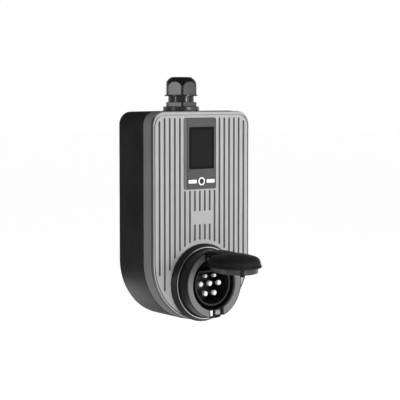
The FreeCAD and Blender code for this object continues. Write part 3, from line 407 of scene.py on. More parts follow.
@dataclass(frozen=True)
class Finish:
    """Look of one kind of surface: a material with a Principled shader."""

    name: str
    shade: Shade

    @cache
    def material(self) -> bpy.types.Material:
        """Build the material, once for all that share the finish.

        Returns:
            The material.
        """
        material = bpy.data.materials.new(self.name)
        material.use_nodes = True
        self.paint(Graph(material.node_tree), material.node_tree.nodes["Principled BSDF"])
        return material

    def paint(self, graph: Graph, shader: bpy.types.Node) -> None:
        """Feed the shader. Each finish has its own way.

        Args:
            graph: The material's graph.
            shader: Its shader.
        """
        raise NotImplementedError


@dataclass(frozen=True)
class MouldedPlastic(Finish):
    """Plastic with a spark-eroded grain, faint clouding and polished edges."""

    roughness: float = 0.5
    grain_scale: float = 2600.0
    grain_height: float = 0.00003
    grain_strength: float = 0.3
    wear: float = 0.12
    rounding: float = 0.0003
    specular: float = 0.5
    cloud_dark: float = 0.05
    cloud_light: float = 0.012
    pit_cover: float = 0.3
    pit_dark: float = 0.15
    speck_cover: float = 0.25
    speck_light: float = 0.12
    worn_light: float = 0.3
    worn_polish: float = 0.12
    rough_spread: float = 0.04

    def paint(self, graph: Graph, shader: bpy.types.Node) -> None:
        """Feed the shader with clouds, pits, specks and worn edges.

        Args:
            graph: The material's graph.
            shader: Its shader.
        """
        grain = graph.group(effects.grain, Scale=self.grain_scale, Height=self.grain_height,
                            Strength=self.grain_strength, Rounding=self.rounding)
        mottle = graph.group(effects.mottle)
        worn = graph.group(effects.wear)["Mask"]
        colour = graph.mix(mottle["Clouds"], darker(self.shade, self.cloud_dark),
                           lighter(self.shade, self.cloud_light))
        for over, mask, cover in (
            (darker(self.shade, self.pit_dark), grain["Pits"], self.pit_cover),
            (lighter(self.shade, self.speck_light), mottle["Specks"], self.speck_cover),
            (lighter(self.shade, self.worn_light), worn, self.wear),
        ):
            colour = graph.layer(colour, over, mask, cover)
        rough = graph.between(mottle["Clouds"], self.roughness - self.rough_spread,
                              self.roughness + self.rough_spread)
        rough = graph.math("SUBTRACT", rough, graph.math("MULTIPLY", worn, self.worn_polish))
        graph.fill(shader, Base_Color=self.with_painted_shade_or_stripe(graph, colour), Roughness=rough,
                   Normal=grain["Normal"], Specular_IOR_Level=self.specular)

    def with_painted_shade_or_stripe(self, graph: Graph, colour: Socket) -> Socket:
        """Colour after the painted shade or the paler strip that only some mouldings have. A plain
        one has nothing more.
        """
        return colour


@dataclass(frozen=True)
class FlutedPlastic(MouldedPlastic):
    """Moulded plastic with painted shade in flutes that are sunk behind its level face."""

    face_y: float = 0.0
    top_z: float = 0.0
    shade_start: float = 0.15 * MM
    shade_end: float = 0.9 * MM
    shade_dark: float = 0.87
    lit_length: float = 6.0 * MM
    lit_shade: float = 0.25

    def with_painted_shade_or_stripe(self, graph: Graph, colour: Socket) -> Socket:
        """Paint shade into the flutes, less at their top ends, which the light from above reaches.

        Args:
            graph: The material's graph.
            colour: Colour of the moulding.

        Returns:
            The colour with the flutes' painted shade.
        """
        axes = graph.axes(graph.place())
        # Painted shade: the flutes darken with depth behind the face, less towards their top ends.
        depth = graph.ramp(axes["Y"], self.face_y + self.shade_start, self.face_y + self.shade_end)
        unlit = graph.ramp(axes["Z"], self.top_z - self.lit_length, self.top_z, 1.0,
                           self.lit_shade)
        shaded = graph.math("MULTIPLY", depth, unlit)
        return graph.mix(shaded, colour, darker(self.shade, self.shade_dark))


@dataclass(frozen=True)
class StripedPlastic(MouldedPlastic):
    """Moulded plastic with a paler strip along its left edge."""

    stripe_right: float = 0.0
    stripe_light: float = 0.06

    def with_painted_shade_or_stripe(self, graph: Graph, colour: Socket) -> Socket:
        """Lighten what is to the left of the strip's edge.

        Args:
            graph: The material's graph.
            colour: Colour of the moulding.

        Returns:
            The colour with the strip.
        """
        across = graph.axes(graph.place())["X"]
        stripe = graph.math("LESS_THAN", across, self.stripe_right)
        return graph.mix(stripe, colour, lighter(self.shade, self.stripe_light))


@dataclass(frozen=True)
class Rubber(Finish):
    """Elastic rubber with a dry bloom."""

    roughness: float = 0.78
    bloom: float = 0.1
    specular: float = 0.3
    speck_cover: float = 0.3
    speck_light: float = 0.25
    rough_spread: float = 0.1

    def paint(self, graph: Graph, shader: bpy.types.Node) -> None:
        """Feed the shader with bloom, dust specks and a coarse grain.

        Args:
            graph: The material's graph.
            shader: Its shader.
        """
        grain = graph.group(effects.grain, Scale=1500.0, Height=0.00004, Strength=0.35,
                            Rounding=0.0005)
        mottle = graph.group(effects.mottle, Broad=60.0, Fine=900.0)
        colour = graph.mix(mottle["Clouds"], rgba(self.shade), lighter(self.shade, self.bloom))
        colour = graph.layer(colour, lighter(self.shade, self.speck_light), mottle["Specks"],
                             self.speck_cover)
        rough = graph.between(mottle["Clouds"], self.roughness,
                              self.roughness + self.rough_spread)
        graph.fill(shader, Base_Color=colour, Roughness=rough, Normal=grain["Normal"],
                   Specular_IOR_Level=self.specular)


class Surface(Enum):
    """How a metal was finished."""

    PLATED = "plated"
    TURNED = "turned"
    ROLLED = "rolled"


@dataclass(frozen=True)
class Metal(Finish):
    """Metal with the marks of how it was made."""

    surface: Surface
    roughness: float = 0.3
    centre_z: float = 0.0
    tarnish: float = 0.25
    tarnish_dark: float = 0.4
    worn_light: float = 0.35
    smoothest: float = 0.8
    roughest: float = 1.3
    plated_height: float = 0.00002
    rolled_height: float = 0.00001

    def paint(self, graph: Graph, shader: bpy.types.Node) -> None:
        """Feed the shader with tarnish, bright edges and the marks.

        Args:
            graph: The material's graph.
            shader: Its shader.
        """
        clouds = graph.group(effects.mottle, Broad=180.0, Fine=1400.0)["Clouds"]
        worn = graph.group(effects.wear, Width=0.0004, Breakup=700.0)["Mask"]
        dull = graph.mix(graph.math("MULTIPLY", clouds, self.tarnish), rgba(self.shade),
                         darker(self.shade, self.tarnish_dark))
        colour = graph.mix(worn, dull, lighter(self.shade, self.worn_light))
        rough = graph.between(clouds, self.roughness * self.smoothest,
                              self.roughness * self.roughest)
        graph.fill(shader, Base_Color=colour, Roughness=rough, Normal=self._marks(graph),
                   Metallic=1.0)

    def _marks(self, graph: Graph) -> Socket:
        """Relief of the finish.

        Args:
            graph: The material's graph.

        Returns:
            A normal.
        """
        if self.surface is Surface.TURNED:
            return graph.group(effects.turning, Centre_Z=self.centre_z)["Normal"]
        plated = self.surface is Surface.PLATED
        height = self.plated_height if plated else self.rolled_height
        return graph.group(effects.grain, Scale=3200.0, Height=height, Strength=0.2,
                           Rounding=0.0002)["Normal"]


@dataclass(frozen=True)
class GlowingPlastic(Finish):
    """Milky plastic that glows: lamps behind a light guide, or painted light on parts with no lamp.
    """

    glow: float = 0.08
    cloud_dark: float = 0.02
    smoothest: float = 0.22
    roughest: float = 0.3
    coat: float = 0.3

    def paint(self, graph: Graph, shader: bpy.types.Node) -> None:
        """Feed the shader with milky clouds that glow.

        Args:
            graph: The material's graph.
            shader: Its shader.
        """
        clouds = graph.group(effects.mottle, Broad=90.0, Fine=1200.0)["Clouds"]
        colour = graph.mix(clouds, darker(self.shade, self.cloud_dark), rgba(self.shade))
        rough = graph.between(clouds, self.smoothest, self.roughest)
        graph.fill(shader, Base_Color=colour, Roughness=rough, Emission_Color=colour,
                   Emission_Strength=self.glow, Coat_Weight=self.coat)


@dataclass(frozen=True)
class ScreenWindow(Finish):
    """Smoked window over a dark display, with the faint grid of its pixels."""

    centre_x: float
    half_width: float
    low_z: float
    high_z: float
    edge: float = 0.4 * MM
    pixel_pitch: float = 14000.0
    pixel_gap: float = 0.55
    frame_dark: float = 0.35
    pixel_light: float = 0.006
    smoothest: float = 0.07
    roughest: float = 0.14
    specular: float = 0.07

    def paint(self, graph: Graph, shader: bpy.types.Node) -> None:
        """Feed the shader with the display's pixels inside a darker frame.

        Args:
            graph: The material's graph.
            shader: Its shader.
        """
        axes = graph.axes(graph.place())
        middle_z = (self.low_z + self.high_z) / 2
        half_height = (self.high_z - self.low_z) / 2
        display = graph.math("MULTIPLY",
                             self._within(graph, axes["X"], self.centre_x, self.half_width),
                             self._within(graph, axes["Z"], middle_z, half_height))
        waves = [graph.math("SINE", graph.math("MULTIPLY", axes[name], self.pixel_pitch))
                 for name in ("X", "Z")]
        pixels = graph.ramp(graph.math("MULTIPLY", *waves), low=-1.0, high=1.0,
                            start=self.pixel_gap)
        colour = graph.mix(graph.math("MULTIPLY", display, pixels),
                           darker(self.shade, self.frame_dark),
                           lighter(self.shade, self.pixel_light))
        clouds = graph.group(effects.mottle, Broad=25.0, Fine=700.0)["Clouds"]
        rough = graph.between(clouds, self.smoothest, self.roughest)
        graph.fill(shader, Base_Color=colour, Roughness=rough, Specular_IOR_Level=self.specular)

    def _within(self, graph: Graph, place: Socket, middle: float, half: float) -> Socket:
        """Mask of a strip about a middle, soft at its edges.

        Args:
            graph: The material's graph.
            place: Place across the strip.
            middle: Its middle.
            half: Half of its width.

        Returns:
            Mask that is one inside the strip.
        """
        away = graph.math("ABSOLUTE", graph.math("SUBTRACT", place, middle))
        return graph.ramp(away, half, half - self.edge)


@dataclass(frozen=True)
class CircuitBoard(Finish):
    """Solder mask over copper tracks and plated pads."""

    track_scale: float = 110.0
    pad_scale: float = 210.0
    mask_dark: float = 0.25
    track_light: float = 0.06
    tin: Shade = (0.72, 0.71, 0.68)
    track_rough: float = 0.3
    mask_rough: float = 0.42
    track_height: float = 0.00004
    relief: float = 0.5

    def paint(self, graph: Graph, shader: bpy.types.Node) -> None:
        """Feed the shader with tracks, pads and the mask over them.

        Args:
            graph: The material's graph.
            shader: Its shader.
        """
        flat = graph.node("ShaderNodeMapping", in_Scale=(1.0, 0.0, 1.0), in_Vector=graph.place())
        tracks = graph.node("ShaderNodeTexVoronoi", feature="F1", distance="CHEBYCHEV",
                            in_Scale=self.track_scale, in_Randomness=0.85,
                            in_Vector=flat.outputs["Vector"])
        pads = graph.node("ShaderNodeTexVoronoi", feature="F1", in_Scale=self.pad_scale,
                          in_Randomness=0.3, in_Vector=flat.outputs["Vector"])
        copper = graph.ramp(tracks.outputs["Distance"], low=0.3, high=0.34)
        tinned = graph.ramp(pads.outputs["Distance"], low=0.16, high=0.13)
        colour = graph.mix(copper, darker(self.shade, self.mask_dark),
                           lighter(self.shade, self.track_light))
        rough = graph.between(copper, self.mask_rough, self.track_rough)
        graph.fill(shader, Base_Color=graph.mix(tinned, colour, rgba(self.tin)), Metallic=tinned,
                   Roughness=rough, Normal=graph.bump(copper, self.track_height, self.relief))


@dataclass(frozen=True)
class Windings(Finish):
    """Enamelled wire or wrapped tape in fine turns round a core."""

    turns: float
    distortion: float = 0.4
    detail: float = 2.0
    painted_valley_shade: float = 0.45
    painted_crown_highlight: float = 0.08
    valley_rough: float = 0.5
    crown_rough: float = 0.3
    height: float = 0.0001
    relief: float = 0.5

    def paint(self, graph: Graph, shader: bpy.types.Node) -> None:
        """Feed the shader with the turns: painted shade in their valleys, a painted highlight on
        their crowns, and their relief.

        Args:
            graph: The material's graph.
            shader: Its shader.
        """
        bands = graph.node("ShaderNodeTexWave", wave_type="BANDS", bands_direction="DIAGONAL",
                           in_Scale=self.turns, in_Distortion=self.distortion,
                           in_Detail=self.detail, in_Vector=graph.place())
        wave = bands.outputs["Fac"]
        # Painted shade darkens the valleys between the turns and a painted highlight lightens their
        # crowns.
        colour = graph.mix(wave, darker(self.shade, self.painted_valley_shade),
                           lighter(self.shade, self.painted_crown_highlight))
        rough = graph.between(wave, self.valley_rough, self.crown_rough)
        graph.fill(shader, Base_Color=colour, Roughness=rough,
                   Normal=graph.bump(wave, self.height, self.relief))


@dataclass(frozen=True)
class StudioFloor(Finish):
    """Pale floor that glows for the rays which show the surround."""

    cloud_shade: Shade
    cloud_scale: float = 3.0
    roughness: float = 0.7
    glow: float = 0.73

    def paint(self, graph: Graph, shader: bpy.types.Node) -> None:
        """Feed the shader with faint clouds and the glow.

        Args:
            graph: The material's graph.
            shader: Its shader.
        """
        clouds = graph.node("ShaderNodeTexNoise", in_Scale=self.cloud_scale).outputs["Fac"]
        glow = graph.math("MULTIPLY", seen_rays(graph), self.glow)
        graph.fill(shader, Base_Color=graph.mix(clouds, rgba(self.shade), rgba(self.cloud_shade)),
                   Roughness=self.roughness, Emission_Color=WHITE, Emission_Strength=glow)
        self._open_below(graph, shader)

    @staticmethod
    def _open_below(graph: Graph, shader: bpy.types.Node) -> None:
        """Let a camera under the floor look up through it.

        Args:
            graph: The floor's graph.
            shader: Its shader.
        """
        side = graph.node("ShaderNodeNewGeometry").outputs
        path = graph.node("ShaderNodeLightPath").outputs
        clear = graph.node("ShaderNodeBsdfTransparent")
        choice = graph.node("ShaderNodeMixShader")
        below = graph.math("MULTIPLY", side["Backfacing"], path["Is Camera Ray"])
        graph.feed(choice.inputs[0], below)
        graph.feed(choice.inputs[1], shader.outputs["BSDF"])
        graph.feed(choice.inputs[2], clear.outputs["BSDF"])
        output = graph.tree.nodes["Material Output"]
        graph.feed(output.inputs["Surface"], choice.outputs["Shader"])


# Finishes that more than one sub-assembly wears

ZINC = Metal("zinc_screws", (0.6, 0.6, 0.58), Surface.PLATED, roughness=0.32)
GASKET = Rubber("gasket_black", (0.02, 0.02, 0.021))
CIRCUIT = CircuitBoard("circuit_green", (0.03, 0.16, 0.08))


# Modelling helpers


def clear_selection() -> None:
    """Deselect every object."""
    bpy.ops.object.select_all(action="DESELECT")


def start_selecting(kind: str) -> None:
    """Deselect all of the active piece's mesh and leave it in object mode.

    Args:
        kind: VERT, EDGE or FACE, what is selected next.
    """
    bpy.ops.object.mode_set(mode="EDIT")
    bpy.ops.mesh.select_mode(type=kind)
    bpy.ops.mesh.select_all(action="DESELECT")
    bpy.ops.object.mode_set(mode="OBJECT")


def bevel_edges(piece: bpy.types.Object, wanted: Callable[[Vector, Vector], bool], width: float,
                segments: int) -> None:
    """Bevel the edges of the active piece whose two ends pass a test.

    Args:
        piece: The piece.
        wanted: Says from an edge's two ends whether it is bevelled.
        width: Width of the bevel.
        segments: Its number of steps.
    """
    start_selecting("EDGE")
    points = [vertex.co for vertex in piece.data.vertices]
    for edge in piece.data.edges:
        edge.select = wanted(*(points[index] for index in edge.vertices))
    bpy.ops.object.mode_set(mode="EDIT")
    bpy.ops.mesh.bevel(offset=width, segments=segments, affect="EDGES")
    bpy.ops.object.mode_set(mode="OBJECT")


def settle(piece: bpy.types.Object, name: str, angle: float) -> None:
    """Bring a piece's place into its mesh, point its faces outwards and shade it.

    Args:
        piece: The piece.
        name: Its name.
        angle: Edges sharper than this many degrees stay sharp.
    """
    clear_selection()
    piece.select_set(True)
    bpy.context.view_layer.objects.active = piece
    bpy.ops.object.transform_apply(location=True, rotation=True, scale=True)
    bpy.ops.object.mode_set(mode="EDIT")
    bpy.ops.mesh.select_all(action="SELECT")
    bpy.ops.mesh.remove_doubles(threshold=MERGE_REACH)
    bpy.ops.mesh.normals_make_consistent(inside=False)
    bpy.ops.object.mode_set(mode="OBJECT")
    bpy.ops.object.shade_smooth_by_angle(angle=math.radians(angle))
    piece.name = name
    piece.data.name = name


def spun(name: str, profile: Sequence[tuple[float, float]], centre: Vector, steps: int,
         angle: float = 35.0) -> bpy.types.Object:
    """Draw a profile point by point and spin it round an axis that points forward.

    Args:
        name: Name of the piece.
        profile: Radius and height along the axis of each point.
        centre: Point on the axis at height nought.
        steps: Steps of the full turn.
        angle: Edges sharper than this many degrees stay sharp.

    Returns:
        The piece.
    """
    points = [centre + Vector((radius, 0, 0)) + FORWARD * height for radius, height in profile]
    clear_selection()
    bpy.ops.mesh.primitive_plane_add(size=MM, location=points[0])
    piece = bpy.context.active_object
    bpy.ops.object.transform_apply(location=True, rotation=True, scale=True)
    bpy.ops.object.mode_set(mode="EDIT")
    bpy.ops.mesh.select_mode(type="VERT")
    bpy.ops.mesh.select_all(action="SELECT")
    bpy.ops.mesh.merge(type="CENTER")
    for start, end in zip(points, points[1:]):
        bpy.ops.mesh.extrude_region_move(TRANSFORM_OT_translate={"value": end - start})
    bpy.ops.mesh.select_all(action="SELECT")
    bpy.ops.mesh.spin(steps=steps, angle=math.tau, center=centre, axis=FORWARD)
    bpy.ops.object.mode_set(mode="OBJECT")
    settle(piece, name, angle)
    return piece


def copied(piece: bpy.types.Object, name: str, shift: Vector) -> bpy.types.Object:
    """Copy a piece with its mesh to another place.

    Args:
        piece: The piece.
        name: Name of the copy.
        shift: Way from the piece to the copy.

    Returns:
        The copy.
    """
    copy = piece.copy()
    copy.data = piece.data.copy()
    copy.data.transform(Matrix.Translation(shift))
    copy.name = name
    copy.data.name = name
    bpy.context.scene.collection.objects.link(copy)
    return copy


def finish_piece(piece: bpy.types.Object, body: str, slot: str, finish: Finish,
                 *replaced: str) -> None:
    """Give a piece its finish and its body, and hide the CAD nodes that it stands for.

    Args:
        piece: The piece.
        body: CAD body that it rides on.
        slot: Name of a material slot. Not used.
        finish: Its finish.
        replaced: CAD nodes that it stands for.
    """
    piece.data.materials.clear()
    piece.data.materials.append(finish.material())
    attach(piece, body)
    if replaced:
        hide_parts(*replaced)
    log.info("%s on %s: %d faces", piece.name, body, len(piece.data.polygons))


def dress(finish: Finish, *nodes: str) -> None:
    """Put a finish on every slot of some CAD nodes.

    Args:
        finish: The finish.
        nodes: Names of the nodes.
    """
    for node in nodes:
        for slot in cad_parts[node].material_slots:
            slot.material = finish.material()
        log.info("dressed %s with %s", node, finish.name)


# Sub-assemblies


@dataclass
class Casing:
    """The box: black tub, grey band, their gasket, and the fixings at the back."""

    thread_radius: float = 2.5 * MM
    thread_depth: float = 0.22 * MM
    thread_pitch: float = 0.8 * MM
    thread_turns: int = 9
    thread_start: float = 0.3 * MM
    thread_seat: float = 0.05 * MM
    span_x: float = 100.0 * MM
    span_z: float = 150.0 * MM

    def build(self) -> None:
        """Dress the box and cut the threads that show at its back."""
        tub = MouldedPlastic("casing_black", (0.014, 0.014, 0.0145), grain_scale=1900.0, wear=0.15,
                             rounding=0.0005, specular=0.015)
        band = MouldedPlastic("band_grey", (0.19, 0.19, 0.193), roughness=0.55, wear=0.15,
                              rounding=0.0004, specular=0.0)
        brass = Metal("insert_brass", (0.74, 0.56, 0.27), Surface.TURNED, roughness=0.28)
        dress(tub, "rear_housing")
        dress(band, "front_frame")
        dress(GASKET, "housing_gasket")
        dress(ZINC, "housing_screws", "panel_screws")
        dress(brass, "wall_inserts")
        self._threads(brass)

    def _threads(self, brass: Finish) -> None:
        """Model one thread and copy it into the four brass inserts.

        Args:
            brass: The inserts' finish.
        """
        model = self._thread()
        spots = [Vector((x, 0, z)) for x in (-self.span_x / 2, self.span_x / 2)
                 for z in (-self.span_z / 2, self.span_z / 2)]
        for number, spot in enumerate(spots):
            thread = copied(model, f"insert_thread_{number}", spot)
            finish_piece(thread, "housing", "brass", brass)
        bpy.data.objects.remove(model)

    def _thread(self) -> bpy.types.Object:
        """Model ridges that stand in from an insert's wall.

        Returns:
            The thread about the Y axis, its mouth near y = 0.
        """
        crest = self.thread_radius - self.thread_depth
        seat = self.thread_radius + self.thread_seat
        end = self.thread_start + self.thread_turns * self.thread_pitch
        profile = []
        for turn in range(self.thread_turns):
            low = self.thread_start + turn * self.thread_pitch
            profile += [(self.thread_radius, low), (crest, low + self.thread_pitch / 2)]
        profile += [(self.thread_radius, end), (seat, end), (seat, self.thread_start),
                    (self.thread_radius, self.thread_start)]
        return spun("insert_thread", profile, Vector(), steps=32, angle=20.0)


@dataclass
class FrontPlate:
    """Light grey fluted plate."""

    face_y: float = -85.0 * MM
    top_z: float = 143.0 * MM

    def build(self) -> None:
        """Dress the plate, with painted shade that darkens its flutes."""
        # The flutes' darker colour is painted shade.
        plate = FlutedPlastic("plate_grey", (0.4, 0.4, 0.4025), roughness=0.46, wear=0.1,
                              grain_height=0.00002, specular=0.25, face_y=self.face_y,
                              top_z=self.top_z)
        dress(plate, "front_panel")


@dataclass
class DisplayPanel:
    """Dark panel with the screen, the light bars and the push button."""

    centre_x: float = -2.0 * MM
    controls_z: float = 49.4 * MM
    active_half_width: float = 18.5 * MM
    active_low_z: float = 71.0 * MM
    active_high_z: float = 121.5 * MM
    stripe_right: float = -28.0 * MM
    glass_corner: float = 0.8 * MM
    glass_bevel: float = 0.25 * MM
    glass_step: float = 0.04 * MM
    cap_radius: float = 3.7 * MM
    cap_edge: float = 1.0 * MM
    cap_dish: float = 0.35 * MM
    dish_rings: tuple[float, ...] = (0.2, 0.4, 0.6, 0.8, 0.92, 1.0)
    edge_steps: int = 6
    shoulder_radius: float = 5.2 * MM
    shoulder_front: float = 77.7 * MM
    shoulder_back: float = 76.5 * MM
    stem_radius: float = 2.0 * MM

    def build(self) -> None:
        """Dress the panel and what is behind it."""
        panel = StripedPlastic("panel_grey", (0.069, 0.069, 0.0705), roughness=0.42, wear=0.15,
                               grain_height=0.00002, specular=0.12,
                               stripe_right=self.stripe_right)
        module = MouldedPlastic("module_grey", (0.2, 0.21, 0.22), roughness=0.35)
        switch = MouldedPlastic("switch_black", (0.045, 0.045, 0.045), roughness=0.4)
        dress(panel, "display_bezel")
        self._screen_glass()
        dress(GlowingPlastic("light_white", (0.9, 0.905, 0.9)), "status_bars", "button_ring")
        self._button_dome()
        dress(module, "lcd_module")
        dress(switch, "button_switch")
        dress(CIRCUIT, "display_board")
        dress(ZINC, "display_screws")

    def _screen_glass(self) -> None:
        """Model the window with rounded corners and a ground front edge."""
        low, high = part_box("screen_lens")
        clear_selection()
        bpy.ops.mesh.primitive_cube_add(size=1.0, location=(low + high) / 2, scale=high - low)
        glass = bpy.context.active_object
        bpy.ops.object.transform_apply(location=True, rotation=True, scale=True)
        bevel_edges(glass, lambda start, end: abs(start.y - end.y) > self.glass_bevel,
                    self.glass_corner, segments=5)
        bevel_edges(glass, lambda start, end: max(start.y, end.y) < low.y + self.glass_step,
                    self.glass_bevel, segments=3)
        settle(glass, "screen_glass", angle=10.0)
        smoked = ScreenWindow("screen_black", (0.009, 0.009, 0.0096), self.centre_x,
                              self.active_half_width, self.active_low_z, self.active_high_z)
        finish_piece(glass, "housing", "screen_black", smoked, "screen_lens")

    def _button_dome(self) -> None:
        """Model the push button: a dished cap with a round edge, on its shoulder and stem."""
        low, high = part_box("button_cap")
        top, foot = -low.y, -high.y
        rim = self.cap_radius - self.cap_edge
        edge_foot = top - self.cap_edge
        turns = [math.pi / 2 * (step + 1) / self.edge_steps for step in range(self.edge_steps)]
        profile = [(0.0, top - self.cap_dish)]
        profile += [(rim * share, top - self.cap_dish * (1 - share ** 2))
                    for share in self.dish_rings]
        profile += [(rim + self.cap_edge * math.sin(turn), edge_foot + self.cap_edge * math.cos(turn))
                    for turn in turns]
        profile += [
            (self.cap_radius, self.shoulder_front),
            (self.shoulder_radius, self.shoulder_front),
            (self.shoulder_radius, self.shoulder_back),
            (self.stem_radius, self.shoulder_back),
            (self.stem_radius, foot),
            (0.0, foot),
        ]
        centre = Vector((self.centre_x, 0, self.controls_z))
        polished = MouldedPlastic("button_black", (0.009, 0.009, 0.01), roughness=0.24,
                                  grain_strength=0.08, wear=0.2, specular=0.15)
        dome = spun("button_dome", profile, centre, steps=64)
        finish_piece(dome, "button", "button_black", polished, "button_cap")


@dataclass
class ChargingSocket:
    """Socket body with its collar, face ring, contact carrier, contacts and plug lock."""

    centre_z: float = -94.0 * MM

    def build(self) -> None:
        """Dress the socket."""
        black = MouldedPlastic("socket_black", (0.013, 0.013, 0.014), roughness=0.32, wear=0.2,
                               rounding=0.0004, specular=0.1)
        ring = MouldedPlastic("ring_grey", (0.165, 0.165, 0.165), grain_height=0.00006,
                              grain_scale=1700.0, rounding=0.0004, specular=0.2)
        carrier = MouldedPlastic("carrier_black", (0.01, 0.01, 0.0105), roughness=0.4,
                                 specular=0.12)
        contact = Metal("contact_silver", (0.82, 0.81, 0.78), Surface.PLATED, roughness=0.22)
        # The contact caps are no lamps: their faint glow is painted light that brightens them.
        cap = GlowingPlastic("cap_white", (0.78, 0.78, 0.765), glow=0.03)
        trim = Metal("trim_bright", (0.5, 0.5, 0.505), Surface.TURNED, roughness=0.34,
                     centre_z=self.centre_z)
        bolt = Metal("bolt_steel", (0.62, 0.62, 0.61), Surface.ROLLED, roughness=0.28)
        spring = Metal("spring_steel", (0.78, 0.78, 0.78), Surface.ROLLED, roughness=0.2)
        actuator = MouldedPlastic("actuator_grey", (0.09, 0.09, 0.1), roughness=0.45)
        keeper = MouldedPlastic("keeper_grey", (0.26, 0.26, 0.26), roughness=0.45)
        dress(black, "socket_shell", "socket_collar")
        dress(ring, "socket_ring")
        dress(carrier, "socket_insert")
        dress(contact, "power_pins", "signal_pins")
        dress(cap, "power_pin_caps", "signal_pin_caps")
        dress(trim, "collar_trim")
        dress(bolt, "lock_pin", "hinge_pin")
        dress(actuator, "lock_actuator")
        dress(GASKET, "socket_gasket")
        dress(ZINC, "socket_screws")
        dress(spring, "latch_leaf")
        dress(keeper, "latch_keeper")


@dataclass
class SocketLid:
    """Hinged lid with its seal, resting open."""

    def build(self) -> None:
        """Dress the lid and its bracket."""
        shell = MouldedPlastic("lid_black", (0.008, 0.008, 0.0084), roughness=0.48, wear=0.15,
                               grain_height=0.00002, rounding=0.0005, specular=0.03)
        seal = Rubber("seal_grey", (0.028, 0.028, 0.028), roughness=0.2, bloom=0.01)
        dress(shell, "lid", "hinge_bracket")
        dress(ZINC, "hinge_screws")
        dress(seal, "lid_seal")


@dataclass
class CableGland:
    """Cable gland on the top face."""

    def build(self) -> None:
        """Dress the gland."""
        black = MouldedPlastic("gland_black", (0.008, 0.008, 0.009), roughness=0.18, wear=0.2,
                               grain_strength=0.05, rounding=0.0009, specular=0.22)
        washer = Rubber("washer_rubber", (0.005, 0.005, 0.0055), roughness=0.24, bloom=0.005,
                        specular=0.4)
        dress(black, "gland_body", "gland_nut", "gland_locknut")
        dress(Rubber("seal_rubber", (0.02, 0.02, 0.021)), "gland_seal")
        dress(washer, "gland_base")


@dataclass
class Electronics:
    """Boards and parts inside the box."""

    def build(self) -> None:
        """Dress the inside."""
        relay = MouldedPlastic("relay_black", (0.03, 0.03, 0.035), roughness=0.4)
        terminal = MouldedPlastic("terminal_grey", (0.35, 0.36, 0.36))
        supply = MouldedPlastic("supply_grey", (0.07, 0.07, 0.08))
        nylon = MouldedPlastic("standoff_nylon", (0.75, 0.74, 0.7))
        sleeve = MouldedPlastic("capacitor_sleeve", (0.03, 0.05, 0.12), roughness=0.25)
        glass = Metal("fuse_glass", (0.75, 0.77, 0.76), Surface.PLATED, roughness=0.15)
        shield = Metal("module_shield", (0.72, 0.72, 0.7), Surface.ROLLED)
        dress(CIRCUIT, "main_board")
        dress(relay, "relays")
        dress(terminal, "terminal_block", "output_block")
        dress(supply, "power_supply")
        dress(nylon, "board_standoffs")
        dress(ZINC, "board_screws")
        dress(Windings("sensor_blue", (0.05, 0.1, 0.35), turns=260.0), "current_sensor")
        dress(Windings("lead_sleeve", (0.3, 0.12, 0.05), turns=90.0), "power_leads")
        dress(sleeve, "capacitors")
        dress(glass, "fuse")
        dress(shield, "wireless_module")


# Studio


class Lamp(NamedTuple):
    """One soft lamp that looks at the part's middle.

    The bearing is in degrees from straight ahead of the part, to the picture's left above
    nought. The rise is in degrees above its level. Distance and size are in metres, the power
    in watts.
    """

    name: str
    bearing: float
    rise: float
    distance: float
    size: tuple[float, float]
    power: float


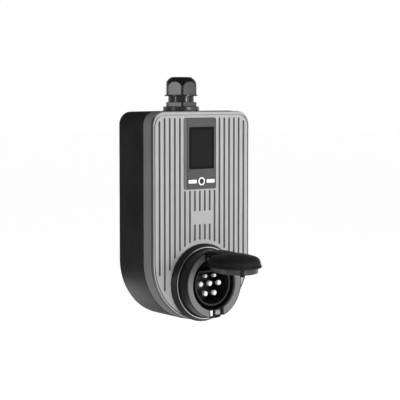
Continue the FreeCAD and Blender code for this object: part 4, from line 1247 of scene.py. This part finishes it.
@dataclass
class Studio:
    """Camera at the photograph's place, soft lamps, a pale floor and a white surround."""

    camera_place: tuple[float, float, float] = (-1.2718, -1.7352, 0.1692)
    camera_turn: tuple[float, float, float] = (85.98, 0.0, -37.53)
    lens: float = 133.1
    sensor: float = 36.0
    nearest: float = 0.05
    farthest: float = 30.0
    lamps: tuple[Lamp, ...] = (
        Lamp("front_strip", -12.0, 3.0, 2.2, (0.32, 0.6), 21.0),
        Lamp("left_strip", 88.0, 3.0, 2.0, (0.32, 0.7), 8.0),
        Lamp("right_strip", -29.5, 3.0, 2.2, (0.32, 0.6), 5.0),
        Lamp("right_key", -56.0, 18.0, 2.4, (0.8, 0.9), 18.0),
        Lamp("foot_strip", 172.0, -34.0, 0.6, (0.4, 0.08), 2.0),
    )
    lit_middle: tuple[float, float, float] = (0.0, -0.06, 0.0)
    floor_size: float = 60.0
    floor_drop: float = 0.35
    surround: float = 1.2
    ceiling: float = 0.1
    ceiling_start: float = 0.05
    ceiling_end: float = 0.6

    def build(self) -> None:
        """Set the camera, the lamps, the world and the floor."""
        self._camera()
        for lamp in self.lamps:
            self._light(lamp)
        self._world()
        self._floor()
        bpy.context.scene.view_settings.view_transform = "Standard"

    def _camera(self) -> None:
        """Place the camera and make it the scene's own."""
        data = bpy.data.cameras.new("camera")
        data.lens = self.lens
        data.sensor_width = self.sensor
        data.clip_start = self.nearest
        data.clip_end = self.farthest
        camera = bpy.data.objects.new("camera", data)
        camera.location = self.camera_place
        camera.rotation_euler = [math.radians(angle) for angle in self.camera_turn]
        bpy.context.scene.collection.objects.link(camera)
        bpy.context.scene.camera = camera

    def _light(self, lamp: Lamp) -> None:
        """Add a lamp, unseen by the camera.

        Args:
            lamp: The lamp.
        """
        side, up = math.radians(lamp.bearing), math.radians(lamp.rise)
        toward = Vector((-math.sin(side) * math.cos(up), -math.cos(side) * math.cos(up),
                         math.sin(up)))
        data = bpy.data.lights.new(lamp.name, "AREA")
        data.shape = "RECTANGLE"
        data.size, data.size_y = lamp.size
        data.energy = lamp.power
        light = bpy.data.objects.new(lamp.name, data)
        light.location = Vector(self.lit_middle) + toward * lamp.distance
        light.rotation_euler = toward.to_track_quat("Z", "Y").to_euler()
        light.visible_camera = False
        bpy.context.scene.collection.objects.link(light)

    def _world(self) -> None:
        """White surround that gives less light from overhead than from the sides."""
        world = bpy.data.worlds.new("surround")
        world.use_nodes = True
        bpy.context.scene.world = world
        graph = Graph(world.node_tree)
        level = graph.between(seen_rays(graph), self.surround, 1.0)
        up = graph.axes(graph.node("ShaderNodeTexCoord").outputs["Generated"])["Z"]
        dim = graph.ramp(up, self.ceiling_start, self.ceiling_end, 0.0, 1.0 - self.ceiling)
        path = graph.node("ShaderNodeLightPath").outputs
        dim = graph.math("MULTIPLY", dim, graph.math("SUBTRACT", 1.0, path["Is Camera Ray"]))
        strength = graph.math("MULTIPLY", level, graph.math("SUBTRACT", 1.0, dim))
        graph.fill(world.node_tree.nodes["Background"], Color=WHITE, Strength=strength)

    def _floor(self) -> None:
        """Lay the floor below the part."""
        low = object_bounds()[0].z - self.floor_drop
        clear_selection()
        bpy.ops.mesh.primitive_plane_add(size=self.floor_size, location=(0, 0, low))
        floor = bpy.context.active_object
        floor.name = "floor"
        white = StudioFloor("floor_white", (0.9, 0.9, 0.9), cloud_shade=(0.94, 0.94, 0.94))
        floor.data.materials.append(white.material())
        floor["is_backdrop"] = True


def main() -> None:
    """Build the sub-assemblies in order and light them."""
    logging.basicConfig(level=logging.INFO, format="%(name)s: %(message)s")
    for part in (Casing(), FrontPlate(), DisplayPanel(), ChargingSocket(), SocketLid(),
                 CableGland(), Electronics(), Studio()):
        part.build()
        log.info("%s is built", type(part).__name__)


if __name__ == "__main__":
    main()
